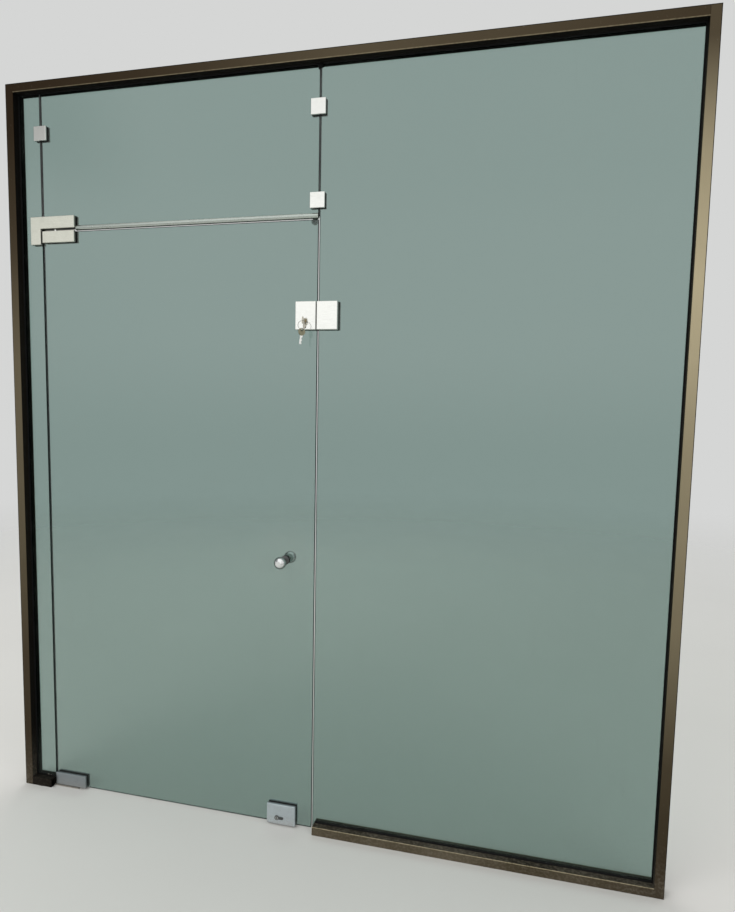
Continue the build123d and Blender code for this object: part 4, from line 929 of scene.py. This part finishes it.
@dataclass
class BronzeFrame:
    """Bronze frame bars, their inner beads, gaskets, blocks and the crumbs by the stub sill."""

    lip_line: float = 0.033
    stub_end: float = -1.048
    sill_start: float = 0.016
    gasket_width: float = 0.016
    gasket_depth: float = 0.004
    gasket_wander: float = 0.0004
    gasket_step: float = 0.05
    corner_radius: float = 0.002
    crumb_density: float = 26000.0
    crumb_radius: float = 0.0013
    crumb_jag: float = 0.0016

    def build(self) -> None:
        """Dress the bars and make the gaskets and crumbs."""
        dress(SHADY_BAR, "jamb_left", "bead_left")
        dress(SUNNY_BAR, "jamb_right", "bead_right")
        dress(HEAD_BAR, "head", "bead_head")
        dress(SILL_BAR, "sill_right", "bead_sill_right")
        dress(STUB_BAR, "sill_left", "bead_sill_left")
        dress(BLOCK, "setting_blocks")
        dress(SCREW, "corner_screws")
        recipe = self.gasket_recipe()
        middle = GLASS_FACE + self.gasket_depth / 2
        self.gasket(recipe, "outer_gasket", -middle, 1.0)
        self.gasket(recipe, "inner_gasket", middle, -1.0)
        self.crumbs()

    def gasket_recipe(self) -> Recipe:
        """Tree that runs a tapered gasket along the frame.

        Returns:
            The tree, with Width, Depth, Lean and Wander as its sizes.
        """
        sizes = {
            "Width": self.gasket_width,
            "Depth": self.gasket_depth,
            "Lean": 1.0,
            "Wander": self.gasket_wander,
        }
        tree = Recipe("gasket_along_frame", sizes)
        width, depth, lean, wander = (tree.size(label) for label in sizes)
        path = tree.node("GeometryNodeMeshToCurve", {"Mesh": tree.size("Geometry")})
        inputs = {"Curve": path, "Count": 3, "Radius": self.corner_radius}
        path = tree.node("GeometryNodeFilletCurve", inputs, mode="POLY")
        waver = tree.wander(9.0) * wander
        path = tree.shifted(path, tree.vector(waver, 0.0, waver))
        inputs = {
            "Height": width,
            "Bottom Width": depth,
            "Top Width": depth * 0.45,
            "Offset": depth * 0.26 * lean,
        }
        profile = tree.node("GeometryNodeCurvePrimitiveQuadrilateral", inputs, mode="TRAPEZOID")
        profile = tree.shifted(profile, tree.vector(0.0, width * -0.5, 0.0))
        tree.close(tree.swept(path, profile), GASKET)
        return tree

    def gasket(self, recipe: Recipe, node: str, depth: float, lean: float) -> None:
        """Make one gasket round the frame, from the sill's start to the stub's end.

        Args:
            recipe: The gasket's tree.
            node: Node that it stands for.
            depth: Middle of the gasket in Y.
            lean: 1 where the lip leans towards +Y, -1 towards -Y.
        """
        side = FRAME_HALF - self.lip_line
        low, high = self.lip_line, FRAME_HEIGHT - self.lip_line
        corners = [(self.sill_start, low), (side, low), (side, high), (-side, high)]
        corners += [(-side, low), (self.stub_end, low)]
        path = line_mesh(node, [(x, depth, z) for x, z in corners], self.gasket_step)
        piece = recipe.grow(f"{node}_strip", path, Lean=lean)
        settle(piece, FACADE, "gasket_black", node)

    def crumbs(self) -> None:
        """Scatter mortar crumbs in and by the open end of the stub sill and along the sill."""
        sizes = {"Density": self.crumb_density, "Radius": self.crumb_radius}
        tree = Recipe("scattered_crumbs", sizes)
        density, radius = (tree.size(label) for label in sizes)
        inputs = {"Mesh": tree.size("Geometry"), "Density": density, "Seed": 7}
        points = tree.node("GeometryNodeDistributePointsOnFaces", inputs)
        crumb = tree.node("GeometryNodeMeshIcoSphere", {"Radius": radius, "Subdivisions": 1})
        low, high = (0.25, 0.2, 0.2), (1.5, 1.3, 0.9)
        kinds = {"data_type": "FLOAT_VECTOR"}
        scale = tree.node("FunctionNodeRandomValue", {0: low, 1: high, "Seed": 3}, **kinds)
        turn = tree.node("FunctionNodeRandomValue", {1: (0.6, 0.6, 6.28), "Seed": 5}, **kinds)
        inputs = {"Points": points, "Instance": crumb, "Rotation": turn, "Scale": scale}
        placed = tree.node("GeometryNodeInstanceOnPoints", inputs)
        real = tree.node("GeometryNodeRealizeInstances", {0: placed})
        jag = tree.wander(700.0) * self.crumb_jag
        across = tree.wander(800.0, 3.0) * self.crumb_jag
        jagged = tree.shifted(real, tree.vector(jag, across, jag))
        x, y, z = tree.axes(tree.node("GeometryNodeInputPosition"))
        flat = tree.vector(x, y, z.most(0.0003))
        rested = tree.node("GeometryNodeSetPosition", {"Geometry": jagged, "Position": flat})
        tree.close(rested, CRUMBS)
        piece = tree.grow("sill_crumbs", self.crumb_bed())
        settle(piece, FACADE, "setting_block")

    def crumb_bed(self) -> Mesh:
        """Strips that the crumbs lie on: by the stub's front, in its mouth and along the sill.

        Returns:
            The strips as one mesh.
        """
        end = self.stub_end
        left = -FRAME_HALF + 0.006
        strips = [
            ((left, end, -0.0385, -0.0355), 0.0008),
            ((end + 0.001, end + 0.018, -0.034, -0.016), 0.0008),
            ((end + 0.001, end + 0.012, 0.014, 0.0235), 0.0008),
            ((left + 0.03, end - 0.002, -0.008, -0.0055), 0.0338),
        ]
        points, faces = [], []
        for (x0, x1, y0, y1), z in strips:
            first = len(points)
            points += [(x0, y0, z), (x1, y0, z), (x1, y1, z), (x0, y1, z)]
            faces.append(tuple(range(first, first + 4)))
        mesh = bpy.data.meshes.new("crumb_bed")
        mesh.from_pydata(points, [], faces)
        return mesh


@dataclass
class Panes:
    """The four panes and the silicone in the joints between the fixed ones."""

    joint_width: float = 0.005
    seal_depth: float = 0.0084
    seal_hollow: float = 0.2
    seal_wave: float = 0.0005
    seal_step: float = 0.012

    def build(self) -> None:
        """Dress the panes and run the silicone."""
        dress(FIXED_GLASS, "side_glass", "transom_glass", "fixed_glass")
        dress(LEAF_GLASS, "door_glass")
        recipe = self.seal_recipe()
        for node in ("side_joint_seal", "middle_joint_seal"):
            self.seal(recipe, node)

    def seal_recipe(self) -> Recipe:
        """Tree that runs a hollow-faced bead of silicone up a joint.

        Returns:
            The tree, with Width, Depth and Hollow as its sizes.
        """
        sizes = {"Width": self.joint_width, "Depth": self.seal_depth, "Hollow": self.seal_hollow}
        tree = Recipe("silicone_in_joint", sizes)
        width, depth, hollow = (tree.size(label) for label in sizes)
        inputs = {"Width": depth, "Height": width}
        profile = tree.node("GeometryNodeCurvePrimitiveQuadrilateral", inputs)
        profile = tree.node("GeometryNodeSubdivideCurve", {"Curve": profile, "Cuts": 5})
        x, y = tree.axes(tree.node("GeometryNodeInputPosition"))[:2]
        across = y / width * 2
        dent = (1 - across * across) * hollow
        profile = tree.shifted(profile, tree.vector(x * dent * -1.0, 0.0, 0.0))
        path = tree.node("GeometryNodeMeshToCurve", {"Mesh": tree.size("Geometry")})
        bead = tree.swept(path, profile)
        wave = tree.wander(35.0) * self.seal_wave
        tree.close(tree.shifted(bead, tree.vector(0.0, wave, 0.0)), SILICONE)
        return tree

    def seal(self, recipe: Recipe, node: str) -> None:
        """Run one seal where its node is.

        Args:
            recipe: The bead's tree.
            node: Node that it stands for.
        """
        low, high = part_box(node)
        middle = (low.x + high.x) / 2
        path = line_mesh(node, [(middle, 0.0, high.z), (middle, 0.0, low.z)], self.seal_step)
        piece = recipe.grow(f"{node}_bead", path)
        settle(piece, FACADE, "joint_silicone", node)


@dataclass
class Clamps:
    """The three square clamps that hold the fixed panes together."""

    def build(self) -> None:
        """Dress plates, pads and screws."""
        dress(MIRROR, "clamp_fronts", "clamp_backs")
        dress(PAD, "clamp_pads")
        dress(SCREW, "clamp_screws")


@dataclass
class PivotFittings:
    """Overpanel patch, door patches, pivots, rail and door stop."""

    def build(self) -> None:
        """Dress the patches and everything that turns or stops the door."""
        dress(SATIN, "overpanel_patch_front", "overpanel_patch_back")
        dress(SATIN, "top_patch_front", "top_patch_back")
        dress(LOW_SATIN, "bottom_patch_front", "bottom_patch_back")
        dress(PAD, "overpanel_pads", "door_patch_pads")
        dress(PIN, "top_pivot_pin")
        dress(STEEL, "bottom_pivot_socket", "floor_pivot_base")
        dress(BUSH, "top_pivot_bush")
        dress(SCREW, "fixed_patch_screws", "door_patch_screws")
        dress(TUBE, "transom_rail", "door_stop_arm")
        dress(BUFFER, "door_stop_buffer")


@dataclass
class Locks:
    """Centre lock with its strike, and the floor lock at the door's foot."""

    def build(self) -> None:
        """Dress covers, cylinders, plugs and bolts."""
        dress(LOCK_MIRROR, "lock_front", "lock_back", "strike_front", "strike_back")
        dress(STEEL, "strike_keep")
        dress(LOCK_SATIN, "floor_lock_front", "floor_lock_back")
        dress(CYLINDER, "lock_cylinder")
        dress(PLUG, "lock_plug")
        dress(LOW_CYLINDER, "floor_lock_cylinder")
        dress(LOW_PLUG, "floor_lock_plug")
        dress(BOLT, "lock_bolt", "floor_lock_bolt")


@dataclass
class Knobs:
    """The pair of ball knobs on the door."""

    def build(self) -> None:
        """Dress knobs and washers."""
        dress(CHROME, "knob_front", "knob_back")
        dress(PAD, "knob_washers")


@dataclass
class KeyRing:
    """The key in the lock, the split ring and the spare key that hangs on it."""

    thickness: float = 0.002
    blade_length: float = 0.026
    blade_height: float = 0.0076
    tip: tuple[Pair, ...] = ((0.0, 0.0022), (0.0014, 0.0006))
    tip_rise: float = 0.0016
    cut_pitch: float = 0.0039
    cut_depths: tuple[float, ...] = (0.0018, 0.0026, 0.001, 0.0018, 0.0026)
    cut_floor: float = 0.0003
    neck: float = 0.003
    neck_lap: float = 0.002
    neck_bevel: float = 0.0003
    bow: float = 0.024
    bow_lap: float = 0.001
    bow_rim: float = 0.0022
    web: float = 0.68
    hole: float = 0.007
    hole_inset: float = 0.0055
    hole_rim: float = 0.0013
    steps: int = 40
    spare_hole: Point = (-0.0335, -0.048, 1.7414)
    spare_turn: float = 50.0
    spare_lean: float = 7.0
    wire: float = 0.0011

    def build(self) -> None:
        """Make both keys and the ring, each where its node is."""
        low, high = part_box("key")
        middle = (low + high) / 2
        columns = Matrix(((0, 0, 1), (0, -1, 0), (1, 0, 0))).to_4x4()
        place = Matrix.Translation((middle.x, high.y, middle.z)) @ columns
        self.key("cut_key", place, "key", NICKEL)
        hang = Matrix.Translation(self.spare_hole) @ self.turned(-self.spare_turn, "Z")
        hang = hang @ self.turned(-self.spare_lean, "X")
        hang = hang @ Matrix.Translation((0, 0, -self.hole_distance()))
        place = hang @ self.turned(90, "Y") @ self.turned(90, "Z")
        self.key("cut_spare_key", place, "spare_key", DIRTY_NICKEL)
        self.ring()

    @staticmethod
    def turned(degrees: float, axis: str) -> Matrix:
        """A turn about one axis."""
        return Matrix.Rotation(math.radians(degrees), 4, axis)

    def hole_distance(self) -> float:
        """From the key's tip to the middle of its hole."""
        return self.blade_length + self.neck - self.bow_lap + self.bow - self.hole_inset

    def bow_distance(self) -> float:
        """From the key's tip to the middle of its bow."""
        return self.blade_length + self.neck + self.bow / 2 - self.bow_lap

    def key(self, name: str, place: Matrix, node: str, finish: Finish) -> None:
        """Make one key: blade with its cuts and groove, neck, and bow with a raised rim.

        Args:
            name: Name of the piece.
            place: Where its tip and plane go.
            node: Node that it stands for.
            finish: Its finish.
        """
        shape = bmesh.new()
        self.add_blade(shape)
        self.add_web(shape)
        self.add_rim(shape, self.bow_distance(), self.bow / 2, self.bow_rim)
        self.add_rim(shape, self.hole_distance(), self.hole / 2 + self.hole_rim, self.hole_rim)
        self.add_neck(shape)
        shape.transform(place)
        mesh = bpy.data.meshes.new(name)
        shape.to_mesh(mesh)
        shape.free()
        mesh.materials.append(finish.material())
        tidy_mesh(mesh, 0.000001)
        settle(piece_from(name, mesh), KEY_BODY, "key_nickel", node)

    def add_blade(self, shape: BMesh) -> None:
        """Add the blade, a long strip with a groove, whose upper edge follows the cuts.

        Args:
            shape: Mesh that takes it.
        """
        half, thick = self.blade_height / 2, self.thickness / 2
        tops = [(y, half - fall) for y, fall in self.tip]
        for step, depth in enumerate(self.cut_depths, 1):
            middle = step * self.cut_pitch
            tops += [(middle - depth, half), (middle - self.cut_floor, half - depth)]
            tops += [(middle + self.cut_floor, half - depth), (middle + depth, half)]
        tops += [(self.blade_length + self.neck, half)]
        loops = []
        for y, top in tops:
            low = -half + (self.tip_rise if y == 0 else 0.0)
            side = [(max(x * half, low), y, deep * thick) for x, deep in BLADE_SIDE]
            side += [(top, y, thick * 0.8)]
            loops.append(side + [(x, y, -deep) for x, y, deep in reversed(side)])
        add_loops(shape, loops, closed=False)

    def add_web(self, shape: BMesh) -> None:
        """Add the bow's thin web, a round plate with the ring's hole through it.

        Args:
            shape: Mesh that takes it.
        """
        half = self.thickness * self.web / 2
        loops = []
        for sine, cosine in around(self.steps):
            out = (self.bow / 2 * sine, self.bow_distance() + self.bow / 2 * cosine)
            into = (self.hole / 2 * sine, self.hole_distance() + self.hole / 2 * cosine)
            loops.append([(*out, half), (*into, half), (*into, -half), (*out, -half)])
        add_loops(shape, loops)

    def add_rim(self, shape: BMesh, middle: float, radius: float, width: float) -> None:
        """Add a rounded rim that stands a little proud of the web on both faces.

        Args:
            shape: Mesh that takes it.
            middle: Middle of the rim along the key.
            radius: Outer radius of the rim.
            width: Width of the rim.
        """
        section = []
        for sine, cosine in around(10):
            section.append((radius - width / 2 + cosine * width / 2, sine * self.thickness / 2))
        loops = []
        for sine, cosine in around(self.steps):
            loops.append([(out * sine, middle + out * cosine, deep) for out, deep in section])
        add_loops(shape, loops)

    def add_neck(self, shape: BMesh) -> None:
        """Add the shoulder between blade and bow.

        Args:
            shape: Mesh that takes it.
        """
        size = (self.blade_height + self.neck_lap, self.neck + self.neck_lap, self.thickness * 0.98)
        middle = self.blade_length + self.neck / 2
        place = Matrix.Translation((0, middle, 0)) @ Matrix.Diagonal((*size, 1))
        bmesh.ops.create_cube(shape, size=1.0, matrix=place)
        edges = shape.edges[-12:]
        bmesh.ops.bevel(shape, geom=edges, offset=self.neck_bevel, segments=2, affect="EDGES")

    def ring(self) -> None:
        """Wind the split ring: two turns of wire side by side."""
        low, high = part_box("key_ring")
        middle = (low + high) / 2
        sizes = {"Radius": (high.x - low.x) / 2 - self.wire, "Wire": self.wire / 2, "Turns": 2.0}
        tree = Recipe("split_ring", sizes)
        radius, wire, turns = (tree.size(label) for label in sizes)
        inputs = {
            "Resolution": 44,
            "Rotations": turns,
            "Start Radius": radius,
            "End Radius": radius,
            "Height": wire * 2.0 * turns,
        }
        coil = tree.node("GeometryNodeCurveSpiral", inputs)
        wire = tree.node("GeometryNodeCurvePrimitiveCircle", {"Resolution": 8, "Radius": wire})
        inputs = {"Curve": coil, "Profile Curve": wire, "Fill Caps": True}
        tree.close(tree.node("GeometryNodeCurveToMesh", inputs), RING_WIRE)
        piece = tree.grow("split_ring", bpy.data.meshes.new("ring_base"))
        heights = [vert.co.z for vert in piece.data.vertices]
        spread = max(heights) + min(heights)
        lift = Matrix.Translation((0, 0, -spread / 2))
        piece.data.transform(Matrix.Translation(middle) @ self.turned(90, "X") @ lift)
        piece.data.shade_smooth()
        settle(piece, KEY_BODY, "ring_steel", "key_ring")


# Studio and camera


@dataclass
class Studio:
    """Plain pale floor, a pale background and soft light."""

    radius: float = 12.0
    floor_height: float = -0.0004
    background: Colour = (0.60, 0.605, 0.60)
    exposure: float = 0.15

    def build(self) -> None:
        """Lay the floor, set the background and hang the lights."""
        shape = bmesh.new()
        bmesh.ops.create_circle(shape, cap_ends=True, segments=96, radius=self.radius)
        mesh = bpy.data.meshes.new("studio_floor")
        shape.to_mesh(mesh)
        shape.free()
        mesh.transform(Matrix.Translation((0, 0, self.floor_height)))
        mesh.materials.append(StudioFloor("floor_pale").material())
        piece_from("studio_floor", mesh)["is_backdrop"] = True
        self.surround()
        self.lamp("window_light", (-2.6, -5.2, 4.4), (0.0, 0.0, 1.2), (4.5, 3.0), 150.0)
        self.lamp("side_light", (4.6, -3.4, 3.0), (0.2, 0.0, 1.2), (2.5, 2.5), 30.0)
        self.lamp("back_light", (-1.5, 4.5, 4.6), (0.0, 0.0, 0.6), (4.0, 3.0), 60.0)
        view = bpy.context.scene.view_settings
        view.view_transform = "Standard"
        view.exposure = self.exposure

    def surround(self) -> None:
        """Set a plain pale background, in which mirrors find a bright sky over darker ground."""
        world = bpy.data.worlds.new("studio")
        world.use_nodes = True
        world.node_tree.nodes.clear()
        tree = Shading(world.node_tree)
        path = tree.node("ShaderNodeLightPath", output="Is Reflection Ray")
        mirrored = path * path.output("Is Glossy Ray")
        x, y, z = tree.axes(tree.node("ShaderNodeTexCoord", output="Generated"))
        left = x * -1.0
        level = 0.54 + z.ramp(-0.08, 0.1) * 0.61
        for shade in (
            x.ramp(0.3, 0.8) * 0.3,
            left.ramp(0.45, 0.8) * 0.35,
            z.ramp(0.22, 0.32) * (0.12 + left.ramp(0.48, 0.6) * 0.5),
            z.ramp(-0.1, -0.3) * left.ramp(0.35, 0.55) * 0.35,
            y.ramp(0.0, 0.5) * z.ramp(0.7, 0.3) * 0.6,
        ):
            level = level * (1 - shade)
        colour = tree.mix(mirrored, self.background, level)
        glow = tree.node("ShaderNodeBackground", {"Color": colour})
        tree.node("ShaderNodeOutputWorld", {"Surface": glow})
        bpy.context.scene.world = world

    @staticmethod
    def lamp(name: str, place: Point, aim: Point, size: Pair, power: float) -> None:
        """Hang one soft rectangular light.

        Args:
            name: Name of the light.
            place: Where it hangs.
            aim: Point that it faces.
            size: Width and height, in metres.
            power: Power, in watts.
        """
        data = bpy.data.lights.new(name, "AREA")
        data.shape = "RECTANGLE"
        data.size, data.size_y = size
        data.energy = power
        light = bpy.data.objects.new(name, data)
        light.location = place
        away = Vector(aim) - Vector(place)
        light.rotation_euler = away.to_track_quat("-Z", "Y").to_euler()
        light.visible_camera = light.visible_glossy = light.visible_transmission = False
        bpy.context.scene.collection.objects.link(light)


@dataclass
class PhotoCamera:
    """Camera at the photograph's place, a little right of the middle and turned left."""

    place: Point = (0.7315, -2.183, 1.510)
    turn: Point = (84.40522, -1.10531, 14.40693)
    lens: float = 27.01
    shift: Pair = (0.0026, 0.0149)

    def build(self) -> None:
        """Make the camera and look through it."""
        data = bpy.data.cameras.new("photo_camera")
        data.lens = self.lens
        data.sensor_width = 36.0
        data.shift_x, data.shift_y = self.shift
        camera = bpy.data.objects.new("photo_camera", data)
        turn = Euler([math.radians(degrees) for degrees in self.turn])
        camera.matrix_world = Matrix.LocRotScale(Vector(self.place), turn, None)
        bpy.context.scene.collection.objects.link(camera)
        bpy.context.scene.camera = camera


def corners() -> list[list[float]]:
    """Lowest and highest corner of all that is shown, as plain lists."""
    return [list(corner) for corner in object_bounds()]


def main() -> None:
    """Build every sub-assembly in order."""
    logging.basicConfig(level=logging.INFO, format="%(message)s")
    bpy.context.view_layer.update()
    PhotoCamera().build()
    Studio().build()
    for part in (BronzeFrame(), Panes(), Clamps(), PivotFittings(), Locks(), Knobs(), KeyRing()):
        part.build()


if __name__ == "__main__":
    main()
